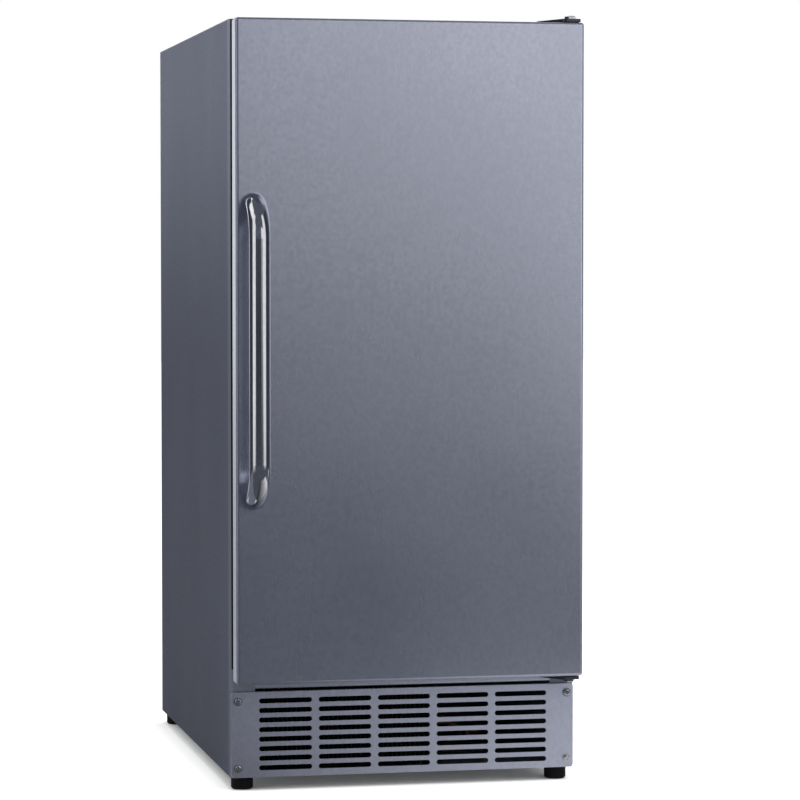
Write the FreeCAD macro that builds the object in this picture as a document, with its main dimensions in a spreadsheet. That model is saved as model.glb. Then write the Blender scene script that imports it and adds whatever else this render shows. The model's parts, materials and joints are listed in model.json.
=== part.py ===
import FreeCAD, Part
import math
import os

import Sketcher
from FreeCAD import Placement, Rotation, Vector

# Undercounter ice machine, in millimetres. +X is the machine's right, the front faces -Y, +Z is up.
# The origin is on the floor, midway across the width and midway between handle and back.

doc = FreeCAD.newDocument("ice_machine")
sheet = doc.addObject("Spreadsheet::Sheet", "Sizes")

NEAR = 1e-4  # two places closer than this are the same
BEND_SHARE = 0.8  # outer rounding of a folded edge, in sheet thicknesses
CROWN_SHARE = 0.6  # rounding of a screw head, in head heights
SINK_SHARE = 0.7  # depth of a countersunk head, in plate thicknesses
GRIP_SHARE = 0.12  # rounding of the grip hole, in grip heights
FLANGE_SHARE = 0.6  # height of the flange screws, in flange heights
nodes = []


class Size:
    """A length with the number it stands for and the sheet formula that gives it."""

    def __init__(self, number, formula):
        self.number = number
        self.formula = formula

    def __add__(self, other):
        other = as_size(other)
        return Size(self.number + other.number, f"({self.formula} + {other.formula})")

    def __sub__(self, other):
        other = as_size(other)
        return Size(self.number - other.number, f"({self.formula} - {other.formula})")

    def __mul__(self, times):
        return Size(self.number * times, f"({self.formula} * {times})")

    def __truediv__(self, parts):
        return Size(self.number / parts, f"({self.formula} / {parts})")

    def __neg__(self):
        return Size(-self.number, f"(-{self.formula})")


def as_size(value):
    """Take a bare number as a size of its own."""
    if isinstance(value, Size):
        return value
    return Size(float(value), repr(float(value)))


def size(name, number):
    """Put one driving dimension in the sheet and hand it back."""
    size.row += 1
    cell = f"A{size.row}"
    sheet.set(cell, str(number))
    sheet.setAlias(cell, name)
    return Size(float(number), f"Sizes.{name}")


size.row = 0

# Driving dimensions: cabinet

cab_width = size("cab_width", 375)
cab_depth = size("cab_depth", 530)
cab_height = size("cab_height", 802)
foot_height = size("foot_height", 14)
sheet_thick = size("sheet_thick", 1)
flange_width = size("flange_width", 26)
liner_wall = size("liner_wall", 2)
liner_round = size("liner_round", 8)
side_foam = size("side_foam", 38)
top_foam = size("top_foam", 46)
back_foam = size("back_foam", 50)
floor_foam = size("floor_foam", 30)
kick_height = size("kick_height", 104)
machine_depth = size("machine_depth", 200)
machine_height = size("machine_height", 226)
fit_gap = size("fit_gap", 0.3)
turn_gap = size("turn_gap", 0.05)

# Driving dimensions: kick plate, base and feet

grille_height = size("grille_height", 91.5)
grille_thick = size("grille_thick", 1.5)
grille_gap = size("grille_gap", 2.5)
grille_corner = size("grille_corner", 4)
grille_edge = size("grille_edge", 0.7)
grille_side_margin = size("grille_side_margin", 28)
grille_row_margin = size("grille_row_margin", 6)
slot_length = size("slot_length", 57.2)
slot_width = size("slot_width", 5.4)
slot_bridge = size("slot_bridge", 7.2)
slot_rib = size("slot_rib", 4.8)
rail_return = size("rail_return", 20)
rail_bend = size("rail_bend", 2)
screw_inset = size("screw_inset", 7.5)
screw_head = size("screw_head", 7.4)
screw_head_height = size("screw_head_height", 2.6)
screw_washer = size("screw_washer", 9.2)
screw_washer_thick = size("screw_washer_thick", 0.8)
screw_thread = size("screw_thread", 4)
screw_length = size("screw_length", 9)
screw_cross = size("screw_cross", 1)
pan_thick = size("pan_thick", 1.2)
pan_lip = size("pan_lip", 14)
cover_recess = size("cover_recess", 36)
foot_dia = size("foot_dia", 23.6)
foot_edge = size("foot_edge", 1.5)
foot_setback = size("foot_setback", 19)
foot_inset = size("foot_inset", 15)
stud_dia = size("stud_dia", 8)
stud_length = size("stud_length", 40)
nut_width = size("nut_width", 13)
nut_thick = size("nut_thick", 6.5)

# Driving dimensions: door

door_thick = size("door_thick", 23)
door_gap = size("door_gap", 18)
door_top_gap = size("door_top_gap", 1.2)
door_round = size("door_round", 3)
skin_thick = size("skin_thick", 1)
gasket_edge = size("gasket_edge", 0.5)
gasket_inset = size("gasket_inset", 13)
gasket_width = size("gasket_width", 12)
gasket_round = size("gasket_round", 3)
dyke_depth = size("dyke_depth", 15)
dyke_inset = size("dyke_inset", 14)
dyke_round = size("dyke_round", 10)
handle_dia = size("handle_dia", 22)
handle_standoff = size("handle_standoff", 42)
handle_bend = size("handle_bend", 38)
handle_span = size("handle_span", 331)
handle_inset = size("handle_inset", 18)
handle_rise = size("handle_rise", 1.3)
handle_thread = size("handle_thread", 5)
handle_screw_head = size("handle_screw_head", 10)
handle_screw_head_height = size("handle_screw_head_height", 3)
handle_screw_length = size("handle_screw_length", 12)

# Driving dimensions: hinges

hinge_inset = size("hinge_inset", 12)
hinge_setback = size("hinge_setback", 13)
hinge_plate = size("hinge_plate", 3)
hinge_nose = size("hinge_nose", 9)
hinge_width = size("hinge_width", 38)
hinge_seat = size("hinge_seat", 42)
hinge_leg_width = size("hinge_leg_width", 46)
hinge_leg_rise = size("hinge_leg_rise", 10)
hinge_edge = size("hinge_edge", 2)
pin_dia = size("pin_dia", 8)
pin_length = size("pin_length", 16)
pin_head = size("pin_head", 11)
pin_head_height = size("pin_head_height", 3.5)
bush_wall = size("bush_wall", 2)
bush_collar = size("bush_collar", 1)
bush_collar_width = size("bush_collar_width", 3)
hinge_screw_head = size("hinge_screw_head", 9)
hinge_screw_dia = size("hinge_screw_dia", 4.8)
hinge_screw_inset = size("hinge_screw_inset", 9)

# Driving dimensions: refrigeration

comp_dia = size("comp_dia", 132)
comp_height = size("comp_height", 170)
comp_round = size("comp_round", 40)
comp_x = size("comp_x", -60)
comp_rear_gap = size("comp_rear_gap", 125)
comp_base_width = size("comp_base_width", 180)
comp_base_depth = size("comp_base_depth", 130)
comp_base_thick = size("comp_base_thick", 3)
comp_bolt_inset = size("comp_bolt_inset", 12)
grommet_dia = size("grommet_dia", 18)
grommet_height = size("grommet_height", 16)
relay_width = size("relay_width", 50)
relay_depth = size("relay_depth", 30)
relay_height = size("relay_height", 60)
relay_rise = size("relay_rise", 50)
cond_width = size("cond_width", 200)
cond_depth = size("cond_depth", 34)
cond_left = size("cond_left", 30)
cond_setback = size("cond_setback", 26)
cond_gap = size("cond_gap", 4)
fin_pitch = size("fin_pitch", 5)
fin_thick = size("fin_thick", 0.8)
cond_core = size("cond_core", 6)
shroud_gap = size("shroud_gap", 8)
shroud_thick = size("shroud_thick", 2)
fan_dia = size("fan_dia", 82)
fan_tip_gap = size("fan_tip_gap", 3)
fan_hub_dia = size("fan_hub_dia", 26)
fan_width = size("fan_width", 16)
fan_blade_thick = size("fan_blade_thick", 1.6)
fan_shaft_dia = size("fan_shaft_dia", 5)
fan_shaft_length = size("fan_shaft_length", 14)
motor_dia = size("motor_dia", 46)
motor_length = size("motor_length", 44)
motor_gap = size("motor_gap", 4)
motor_leg = size("motor_leg", 10)
drier_dia = size("drier_dia", 20)
drier_length = size("drier_length", 90)
drier_rise = size("drier_rise", 16)
drier_setback = size("drier_setback", 150)
pipe_dia = size("pipe_dia", 8)
thin_pipe_dia = size("thin_pipe_dia", 5)
pipe_bend = size("pipe_bend", 14)
pipe_leg = size("pipe_leg", 42)
evap_half = size("evap_half", 118)
evap_height = size("evap_height", 350)
evap_lift = size("evap_lift", 30)
evap_thick = size("evap_thick", 1.6)
evap_off_wall = size("evap_off_wall", 12)
evap_pitch = size("evap_pitch", 50)
evap_pass_half = size("evap_pass_half", 70)
evap_riser = size("evap_riser", 111)
boss_dia = size("boss_dia", 9)
boss_inset = size("boss_inset", 10)
pipe_hole_gap = size("pipe_hole_gap", 0.4)

# Driving dimensions: water and power inlets

valve_inset = size("valve_inset", 37.5)
valve_height = size("valve_height", 76)
valve_block = size("valve_block", 34)
port_dia = size("port_dia", 26.4)
port_bore = size("port_bore", 12)
port_length = size("port_length", 12)
port_collar = size("port_collar", 31)
port_collar_thick = size("port_collar_thick", 2)
coil_dia = size("coil_dia", 30)
coil_height = size("coil_height", 26)
water_pipe_dia = size("water_pipe_dia", 6.4)
gland_inset = size("gland_inset", 127.5)
gland_height = size("gland_height", 140)
gland_dia = size("gland_dia", 16)
gland_bore = size("gland_bore", 9)
gland_collar = size("gland_collar", 22)
gland_collar_thick = size("gland_collar_thick", 3)
gland_length = size("gland_length", 12)
louvre_length = size("louvre_length", 120)
louvre_width = size("louvre_width", 6)
louvre_pitch = size("louvre_pitch", 14)
louvre_margin = size("louvre_margin", 28)

# Driving dimensions: ice maker

ice_pitch = size("ice_pitch", 25)
ice_wall = size("ice_wall", 4)
ice_radius = size("ice_radius", 32)
mould_wall = size("mould_wall", 5)
mould_rim = size("mould_rim", 5)
mould_flange = size("mould_flange", 30)
mould_flange_thick = size("mould_flange_thick", 3)
maker_off_wall = size("maker_off_wall", 48)
maker_drop = size("maker_drop", 72)
maker_setback = size("maker_setback", 70)
head_depth = size("head_depth", 56)
head_left = size("head_left", 44)
head_right = size("head_right", 56)
head_below = size("head_below", 50)
head_above = size("head_above", 36)
head_round = size("head_round", 5)
ejector_dia = size("ejector_dia", 8)
ejector_reach = size("ejector_reach", 28)
ejector_width = size("ejector_width", 10)
ejector_thick = size("ejector_thick", 3)
ejector_end = size("ejector_end", 12)
shaft_notch = size("shaft_notch", 0.6)
comb_thick = size("comb_thick", 2)
comb_rail = size("comb_rail", 8)
comb_finger = size("comb_finger", 8)
comb_tip_gap = size("comb_tip_gap", 3)
arm_dia = size("arm_dia", 4)
arm_pivot_out = size("arm_pivot_out", 47)
arm_pivot_drop = size("arm_pivot_drop", 12)
arm_out = size("arm_out", 26)
arm_drop = size("arm_drop", 62)
arm_step = size("arm_step", 10)
arm_bend = size("arm_bend", 6)
arm_end = size("arm_end", 8)
cap_thick = size("cap_thick", 14)
cap_half = size("cap_half", 30)
cap_below = size("cap_below", 20)
cup_half = size("cup_half", 21)
cup_height = size("cup_height", 30)
cup_wall = size("cup_wall", 2.5)
cup_depth = size("cup_depth", 40)
rocker_width = size("rocker_width", 13)
rocker_height = size("rocker_height", 24)
rocker_depth = size("rocker_depth", 9)
rocker_dish = size("rocker_dish", 2)
rocker_sink = size("rocker_sink", 3)
rocker_pin_dia = size("rocker_pin_dia", 3)
rocker_pin_length = size("rocker_pin_length", 3)
rocker_gap = size("rocker_gap", 2)
rocker_tilt = size("rocker_tilt", 10)

# Driving dimensions: storage box

control_width = size("control_width", 96)
control_depth = size("control_depth", 90)
control_height = size("control_height", 34)
control_round = size("control_round", 4)
control_right_gap = size("control_right_gap", 14)
control_setback = size("control_setback", 66)
knob_dia = size("knob_dia", 26)
knob_length = size("knob_length", 14)
knob_grip = size("knob_grip", 5)
knob_gap = size("knob_gap", 0.2)
knob_shaft_dia = size("knob_shaft_dia", 6)
knob_shaft_length = size("knob_shaft_length", 16)
knob_skirt = size("knob_skirt", 3)
lens_drop = size("lens_drop", 8)
lens_margin = size("lens_margin", 16)
lens_round = size("lens_round", 5)
bin_gap = size("bin_gap", 6)
bin_floor_gap = size("bin_floor_gap", 0.5)
bin_height = size("bin_height", 235)
bin_wall = size("bin_wall", 2.5)
bin_round = size("bin_round", 8)
bin_rim = size("bin_rim", 4)
bin_rim_height = size("bin_rim_height", 8)
grip_width = size("grip_width", 110)
grip_height = size("grip_height", 26)
grip_drop = size("grip_drop", 22)
scoop_length = size("scoop_length", 110)
scoop_width = size("scoop_width", 78)
scoop_depth = size("scoop_depth", 44)
scoop_wall = size("scoop_wall", 2)
scoop_slope = size("scoop_slope", 46)
scoop_round = size("scoop_round", 12)
scoop_grip_dia = size("scoop_grip_dia", 20)
scoop_grip_length = size("scoop_grip_length", 105)
scoop_hole_inset = size("scoop_hole_inset", 14)
scoop_setback = size("scoop_setback", 190)
scoop_drop = size("scoop_drop", 120)
scoop_off_wall = size("scoop_off_wall", 10)
peg_dia = size("peg_dia", 7)
peg_plate = size("peg_plate", 24)
peg_plate_thick = size("peg_plate_thick", 3)

doc.recompute()

# Places worked out from the driving dimensions

half = cab_width / 2
depth_all = cab_depth + door_gap + door_thick + handle_standoff + handle_dia / 2
rear = depth_all / 2
front = rear - cab_depth
door_back = front - door_gap
door_face = door_back - door_thick
bottom = foot_height
top = bottom + cab_height
door_low = bottom + kick_height
door_high = top - door_top_gap

inside_half = half - sheet_thick
foam_front = front + sheet_thick + liner_wall
foam_rear = rear - sheet_thick
deck_low = door_low
deck_high = bottom + machine_height
riser = rear - machine_depth
pan_top = bottom + pan_thick
cover_face = rear - cover_recess
cover_inside = cover_face - sheet_thick

shell_half = inside_half - side_foam
shell_low = deck_low + sheet_thick + floor_foam
shell_step = deck_high + sheet_thick + floor_foam
shell_high = top - sheet_thick - top_foam
shell_riser = riser - floor_foam
shell_rear = foam_rear - back_foam
cav_half = shell_half - liner_wall
cav_low = shell_low + liner_wall
cav_step = shell_step + liner_wall
cav_high = shell_high - liner_wall
cav_riser = shell_riser - liner_wall
cav_rear = shell_rear - liner_wall

hinge_x = half - hinge_inset
hinge_y = door_face + hinge_setback
grille_top = bottom + grille_height
rail_low = grille_top + grille_gap
slot_pitch = slot_length + slot_bridge
row_pitch = slot_width + slot_rib
slot_columns = int((cab_width - grille_side_margin * 2 + slot_bridge).number / slot_pitch.number)
slot_rows = int((grille_height - grille_row_margin * 2 + slot_rib).number / row_pitch.number)
row_low = bottom + grille_height / 2 - row_pitch * ((slot_rows - 1) / 2)
row_high = bottom + grille_height / 2 + row_pitch * ((slot_rows - 1) / 2)

handle_x = -half + handle_inset
handle_mid = (door_low + door_high) / 2 + handle_rise
handle_low = handle_mid - handle_span / 2 + handle_dia / 2
handle_high = handle_mid + handle_span / 2 - handle_dia / 2
handle_line = door_face - handle_standoff

comp_y = rear - comp_rear_gap
comp_low = pan_top + grommet_height + comp_base_thick
fan_x = -half + cond_left + cond_width / 2
fan_z = (pan_top + deck_low) / 2
cond_front = front + cond_setback
cond_back = cond_front + cond_depth
shroud_front = cond_back + shroud_gap
fan_front = shroud_front + shroud_thick + motor_gap
motor_front = fan_front + fan_width + motor_gap

evap_back = cav_rear - evap_off_wall
evap_face = evap_back - evap_thick
evap_line = evap_face - pipe_dia / 2
evap_low = cav_step + evap_lift
evap_high = evap_low + evap_height
pipe_end = deck_high - pipe_bend * 2
drier_z = pan_top + drier_rise
drier_front = front + drier_setback
water_line = cover_inside - water_pipe_dia - fit_gap
valve_x = half - valve_inset
gland_x = half - gland_inset

maker_x = -cav_half + maker_off_wall
maker_z = cav_high - maker_drop
head_front = front + maker_setback
mould_front = head_front + head_depth
ICE_CUBES = 7
mould_back = mould_front + ice_pitch * ICE_CUBES + ice_wall
arm_x = maker_x + arm_pivot_out
arm_z = maker_z - arm_pivot_drop
cap_back = mould_back + cap_thick
fill_z = maker_z + cap_below / 2 + cup_height + water_pipe_dia
rocker_x = maker_x
rocker_y = head_front + rocker_sink
rocker_z = maker_z

bin_low = cav_low + bin_floor_gap
bin_top = bin_low + bin_height
bin_half = cav_half - bin_gap
bin_front = front + dyke_depth + bin_gap
bin_back = cav_riser - bin_gap
control_right = cav_half - control_right_gap
control_left = control_right - control_width
control_front = front + control_setback
control_low = cav_high - control_height
peg_y = front + scoop_setback
peg_z = cav_high - scoop_drop
scoop_x = cav_half - scoop_off_wall - scoop_grip_dia / 2


# Ways to make and place things

TURNS = {
    "X": Rotation(Vector(0, 0, 1), Vector(1, 0, 0)),
    "Y": Rotation(Vector(0, 0, 1), Vector(0, 1, 0)),
    "Z": Rotation(),
}
PLANES = {"XY": "XY_Plane", "XZ": "XZ_Plane", "YZ": "YZ_Plane"}


def bind(item, name, value):
    """Tie one property of an item to the sheet."""
    item.setExpression(name, as_size(value).formula)


def place(item, at, turn=Rotation()):
    """Put an item at a place that follows the sheet."""
    at = [as_size(value) for value in at]
    item.Placement = Placement(Vector(*[value.number for value in at]), turn)
    for letter, value in zip("xyz", at):
        item.setExpression(f".Placement.Base.{letter}", value.formula)


def node(item, name):
    """Name an item as one of the finished sub-parts."""
    item.Label = name
    nodes.append(item)
    return item


def box(low, high):
    """A block between two opposite corners."""
    item = doc.addObject("Part::Box", "Block")
    for name, start, end in zip(("Length", "Width", "Height"), low, high):
        bind(item, name, as_size(end) - start)
    place(item, low)
    return item


def rod(dia, start, end, along, spot):
    """A round bar between two places along an axis; spot gives the other two coordinates."""
    item = doc.addObject("Part::Cylinder", "Rod")
    bind(item, "Radius", dia / 2)
    bind(item, "Height", as_size(end) - start)
    at = list(spot)
    at.insert("XYZ".index(along), start)
    place(item, at, TURNS[along])
    return item


def cone(dia_start, dia_end, start, end, along, spot):
    """A tapered round bar, like the head of a countersunk screw."""
    item = doc.addObject("Part::Cone", "Taper")
    bind(item, "Radius1", dia_start / 2)
    bind(item, "Radius2", dia_end / 2)
    bind(item, "Height", as_size(end) - start)
    at = list(spot)
    at.insert("XYZ".index(along), start)
    place(item, at, TURNS[along])
    return item


def hexagon(width, start, end, spot):
    """A hexagonal bar upright on a spot."""
    item = doc.addObject("Part::Prism", "Hexagon")
    item.Polygon = 6
    bind(item, "Circumradius", width * (1 / math.sqrt(3)))
    bind(item, "Height", as_size(end) - start)
    place(item, (spot[0], spot[1], start))
    return item


def join(*items):
    """Weld items into one solid."""
    if len(items) == 1:
        return items[0]
    item = doc.addObject("Part::MultiFuse", "Joined")
    item.Shapes = list(items)
    item.Refine = True
    return item


def group(*items):
    """Keep items together as separate solids."""
    item = doc.addObject("Part::Compound", "Group")
    item.Links = list(items)
    return item


def cut(base, *tools):
    """Take tools away from an item."""
    item = doc.addObject("Part::Cut", "Cut")
    item.Base = base
    item.Tool = join(*tools)
    return item


def common(base, tool):
    """Keep what two items share."""
    item = doc.addObject("Part::Common", "Shared")
    item.Base = base
    item.Tool = tool
    return item


def rounded(base, radius, pick):
    """Round the edges of an item that the test picks."""
    doc.recompute()
    numbers = [i for i, edge in enumerate(base.Shape.Edges, 1) if pick(edge)]
    item = doc.addObject("Part::Fillet", "Rounded")
    item.Base = base
    item.Edges = [(i, radius.number, radius.number) for i in numbers]
    return item


def lies(edge, axis, spot):
    """Whether an edge stays at one place along an axis."""
    low = getattr(edge.BoundBox, axis + "Min")
    high = getattr(edge.BoundBox, axis + "Max")
    return abs(low - spot.number) < NEAR and abs(high - spot.number) < NEAR


def runs(edge, axis):
    """Whether an edge is straight and runs along an axis."""
    lengths = {"X": edge.BoundBox.XLength, "Y": edge.BoundBox.YLength, "Z": edge.BoundBox.ZLength}
    return all((length > NEAR) == (letter == axis) for letter, length in lengths.items())


def new_body():
    """An empty body for sketches and features."""
    return doc.addObject("PartDesign::Body", "Body")


def sketch_on(body, plane, lift=None):
    """An empty sketch on one of a body's own planes, lifted along the plane's normal."""
    sketch = body.newObject("Sketcher::SketchObject", "Sketch")
    support = [item for item in body.Origin.OriginFeatures if item.Role == PLANES[plane]]
    sketch.AttachmentSupport = [(support[0], "")]
    sketch.MapMode = "FlatFace"
    if lift is not None:
        bind(sketch, ".AttachmentOffset.Base.z", lift)
    return sketch


def hold(sketch, kind, geometry, point, value):
    """Hold one point of a sketch at a distance from the origin that follows the sheet."""
    value = as_size(value)
    index = sketch.addConstraint(Sketcher.Constraint(kind, -1, 1, geometry, point, value.number))
    sketch.setExpression(f"Constraints[{index}]", value.formula)


def hold_radius(sketch, geometry, value):
    """Hold the radius of an arc or circle at a size that follows the sheet."""
    index = sketch.addConstraint(Sketcher.Constraint("Radius", geometry, value.number))
    sketch.setExpression(f"Constraints[{index}]", value.formula)


def outline(sketch, points):
    """Draw a closed straight-sided outline whose corners follow the sheet."""
    points = [(as_size(across), as_size(up)) for across, up in points]
    first = sketch.GeometryCount
    corners = [Vector(across.number, up.number, 0) for across, up in points]
    for start, end in zip(corners, corners[1:] + corners[:1]):
        sketch.addGeometry(Part.LineSegment(start, end))
    for i in range(len(points)):
        after = first + (i + 1) % len(points)
        sketch.addConstraint(Sketcher.Constraint("Coincident", first + i, 2, after, 1))
    for i, (across, up) in enumerate(points):
        hold(sketch, "DistanceX", first + i, 1, across)
        hold(sketch, "DistanceY", first + i, 1, up)


def circle(sketch, centre, dia):
    """Draw a circle whose centre and size follow the sheet."""
    across, up = as_size(centre[0]), as_size(centre[1])
    ring = Part.Circle(Vector(across.number, up.number, 0), Vector(0, 0, 1), dia.number / 2)
    index = sketch.addGeometry(ring)
    hold(sketch, "DistanceX", index, 3, across)
    hold(sketch, "DistanceY", index, 3, up)
    hold_radius(sketch, index, dia / 2)


def slot(sketch, centre, length, width):
    """Draw a level slot with round ends."""
    across, up = centre
    reach = (length - width) / 2
    left, right, radius = across - reach, across + reach, width / 2
    low, high = up - radius, up + radius
    quarter = math.pi / 2
    right_ring = Part.Circle(Vector(right.number, up.number, 0), Vector(0, 0, 1), radius.number)
    left_ring = Part.Circle(Vector(left.number, up.number, 0), Vector(0, 0, 1), radius.number)
    sketch.addGeometry(Part.LineSegment(
        Vector(left.number, low.number, 0), Vector(right.number, low.number, 0)))
    sketch.addGeometry(Part.ArcOfCircle(right_ring, -quarter, quarter))
    sketch.addGeometry(Part.LineSegment(
        Vector(right.number, high.number, 0), Vector(left.number, high.number, 0)))
    sketch.addGeometry(Part.ArcOfCircle(left_ring, quarter, 3 * quarter))
    for i in range(4):
        sketch.addConstraint(Sketcher.Constraint("Tangent", i, 2, (i + 1) % 4, 1))
    sketch.addConstraint(Sketcher.Constraint("Horizontal", 0))
    hold(sketch, "DistanceX", 1, 3, right)
    hold(sketch, "DistanceX", 3, 3, left)
    hold(sketch, "DistanceY", 1, 3, up)
    hold_radius(sketch, 1, radius)


def pad(body, sketch, length, midplane=False, backwards=False):
    """Raise a sketch into a solid."""
    feature = body.newObject("PartDesign::Pad", "Pad")
    feature.Profile = sketch
    feature.Midplane = midplane
    feature.Reversed = backwards
    bind(feature, "Length", length)
    return feature


def pocket(body, sketch):
    """Cut a sketch right through a body, both ways."""
    feature = body.newObject("PartDesign::Pocket", "Pocket")
    feature.Profile = sketch
    feature.Type = "ThroughAll"
    feature.Midplane = True
    return feature


def pattern(body, original, sketch, steps):
    """Repeat a feature; each step is an axis of the sketch, a pitch and a count."""
    feature = body.newObject("PartDesign::MultiTransform", "Pattern")
    feature.Originals = [original]
    rows = []
    for axis, pitch, count in steps:
        row = body.newObject("PartDesign::LinearPattern", "Row")
        row.Direction = (sketch, [axis])
        bind(row, "Length", pitch * (count - 1))
        row.Occurrences = count
        rows.append(row)
    feature.Transformations = rows
    body.Tip = feature
    return feature


def fillet(body, feature, radius, pick):
    """Round the edges of a body that the test picks."""
    doc.recompute()
    names = [f"Edge{i}" for i, edge in enumerate(feature.Shape.Edges, 1) if pick(edge)]
    result = body.newObject("PartDesign::Fillet", "Fillet")
    result.Base = (feature, names)
    bind(result, "Radius", radius)
    body.Tip = result
    return result


def turned(points):
    """A body turned about its own upright axis from half of its outline."""
    body = new_body()
    sketch = sketch_on(body, "XZ")
    outline(sketch, points)
    feature = body.newObject("PartDesign::Revolution", "Turned")
    feature.Profile = sketch
    feature.ReferenceAxis = (sketch, ["V_Axis"])
    feature.Angle = 360
    return body


def extruded(plane, points, length, lift=None, midplane=False):
    """A body raised from a straight-sided outline."""
    body = new_body()
    sketch = sketch_on(body, plane, lift)
    outline(sketch, points)
    pad(body, sketch, length, midplane)
    return body


def bent_wire(points, bend):
    """A line through points with its corners rounded."""
    points = [Vector(*[as_size(value).number for value in point]) for point in points]
    edges = []
    last = points[0]
    for before, corner, after in zip(points, points[1:], points[2:]):
        to_before = (before - corner).normalize()
        to_after = (after - corner).normalize()
        opening = to_before.getAngle(to_after)
        setback = bend.number / math.tan(opening / 2)
        start = corner + to_before * setback
        end = corner + to_after * setback
        inward = (to_before + to_after).normalize()
        centre = corner + inward * (bend.number / math.sin(opening / 2))
        middle = centre - inward * bend.number
        if (start - last).Length > NEAR:
            edges.append(Part.makeLine(last, start))
        edges.append(Part.Arc(start, middle, end).toShape())
        last = end
    edges.append(Part.makeLine(last, points[-1]))
    return Part.Wire(edges)


def tube(points, dia, bend):
    """A round pipe or wire that follows a bent line."""
    spine = bent_wire(points, bend)
    first = spine.OrderedEdges[0]
    start = first.valueAt(first.FirstParameter)
    heading = first.tangentAt(first.FirstParameter)
    ring = Part.Wire(Part.makeCircle(dia.number / 2, start, heading))
    item = doc.addObject("Part::Feature", "Tube")
    item.Shape = spine.makePipeShell([ring], True, False)
    item.Placement = Placement()
    return item


# Casing

def side_panel(name, side):
    """A side sheet with its front flange; side is -1 for left and 1 for right."""
    edge = half * side
    points = (
        (edge, front),
        (edge - flange_width * side, front),
        (edge - flange_width * side, front + sheet_thick),
        (edge - sheet_thick * side, front + sheet_thick),
        (edge - sheet_thick * side, rear),
        (edge, rear),
    )
    body = new_body()
    sketch = sketch_on(body, "XY", bottom)
    outline(sketch, points)
    sheet_pad = pad(body, sketch, cab_height - sheet_thick)
    inner = edge - sheet_thick * side

    def outer_bend(line):
        return runs(line, "Z") and lies(line, "X", edge) and lies(line, "Y", front)

    def inner_bend(line):
        return runs(line, "Z") and lies(line, "X", inner) and lies(line, "Y", front + sheet_thick)

    bend = fillet(body, sheet_pad, liner_wall + sheet_thick, outer_bend)
    bend = fillet(body, bend, liner_wall, inner_bend)
    holes = sketch_on(body, "XZ", -front)
    for height in (row_low, row_high):
        circle(holes, (edge - screw_inset * side, height), screw_thread + turn_gap * 2)
    hole = body.newObject("PartDesign::Pocket", "Pocket")
    hole.Profile = holes
    hole.Midplane = True
    bind(hole, "Length", sheet_thick * 4)
    if side < 0:
        node(body, name)
        return
    _, hinge_spot = bottom_hinge_spots()
    node(cut(body, rod(hinge_screw_dia, front, front + sheet_thick, "Y", hinge_spot)), name)


def top_panel():
    """The top sheet, turned down at the front between the side flanges."""
    plate = box((-half, front, top - sheet_thick), (half, rear, top))
    apron_half = half - flange_width
    apron = box((-apron_half, front, top - flange_width), (apron_half, front + sheet_thick, top))
    welded = join(plate, apron)

    def inner_bend(line):
        at_front = lies(line, "Y", front + sheet_thick)
        return runs(line, "X") and at_front and lies(line, "Z", top - sheet_thick)

    def outer_bend(line):
        return runs(line, "X") and lies(line, "Y", front) and lies(line, "Z", top)

    bend = rounded(welded, liner_wall, inner_bend)
    bend = rounded(bend, sheet_thick * BEND_SHARE, outer_bend)
    seats = [
        rod(hinge_screw_dia, top - sheet_thick * 2, top + sheet_thick, "Z", spot)
        for spot in top_hinge_spots()
    ]
    node(cut(bend, *seats), "top_panel")


def back_panel():
    """The back sheet behind the foam."""
    low = (-inside_half, foam_rear, deck_high)
    node(box(low, (inside_half, rear, top - sheet_thick)), "back_panel")


def machine_deck():
    """The stepped sheet between the foam and the machine space, with a lip for the rear cover."""
    points = (
        (foam_front, deck_low),
        (riser + sheet_thick, deck_low),
        (riser + sheet_thick, deck_high),
        (cover_inside - sheet_thick, deck_high),
        (cover_inside - sheet_thick, deck_high - pan_lip),
        (cover_inside, deck_high - pan_lip),
        (cover_inside, deck_high),
        (foam_rear, deck_high),
        (foam_rear, deck_high + sheet_thick),
        (riser, deck_high + sheet_thick),
        (riser, deck_low + sheet_thick),
        (foam_front, deck_low + sheet_thick),
    )
    deck = extruded("YZ", points, inside_half * 2, midplane=True)
    holes = pipe_holes(deck_high - sheet_thick, deck_high + sheet_thick * 2)
    holes += cover_screw_holes(deck_high - pan_lip / 2)
    node(cut(deck, *holes), "machine_deck")


def pipe_holes(low, high):
    """Upright holes for the two evaporator pipes, and the way of the water pipe."""
    pipe_hole = pipe_dia + pipe_hole_gap * 2
    return [
        rod(pipe_hole, low, high, "Z", (evap_riser, evap_line)),
        rod(pipe_hole, low, high, "Z", (-evap_riser, evap_line)),
        tube(water_route(), water_pipe_dia + pipe_hole_gap * 2, pipe_bend),
    ]


def cabinet_foam():
    """The insulation between casing and liner."""
    points = (
        (foam_front, deck_low + sheet_thick),
        (riser, deck_low + sheet_thick),
        (riser, deck_high + sheet_thick),
        (foam_rear, deck_high + sheet_thick),
        (foam_rear, top - sheet_thick),
        (foam_front, top - sheet_thick),
    )
    block = extruded("YZ", points, inside_half * 2, midplane=True)
    holes = pipe_holes(deck_high, shell_step + sheet_thick)
    node(cut(block, shell_block(foam_front), *holes), "cabinet_foam")


def shell_block(start):
    """The outside of the storage box, back from its mouth."""
    points = (
        (start, shell_low),
        (shell_riser, shell_low),
        (shell_riser, shell_step),
        (shell_rear, shell_step),
        (shell_rear, shell_high),
        (start, shell_high),
    )
    return extruded("YZ", points, shell_half * 2, midplane=True)


def cavity_block():
    """The hollow of the storage box, with rounded corners."""
    points = (
        (front, cav_low),
        (cav_riser, cav_low),
        (cav_riser, cav_step),
        (cav_rear, cav_step),
        (cav_rear, cav_high),
        (front, cav_high),
    )
    block = extruded("YZ", points, cav_half * 2, midplane=True)
    return rounded(block, liner_round, lambda edge: not lies(edge, "Y", front))


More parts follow.
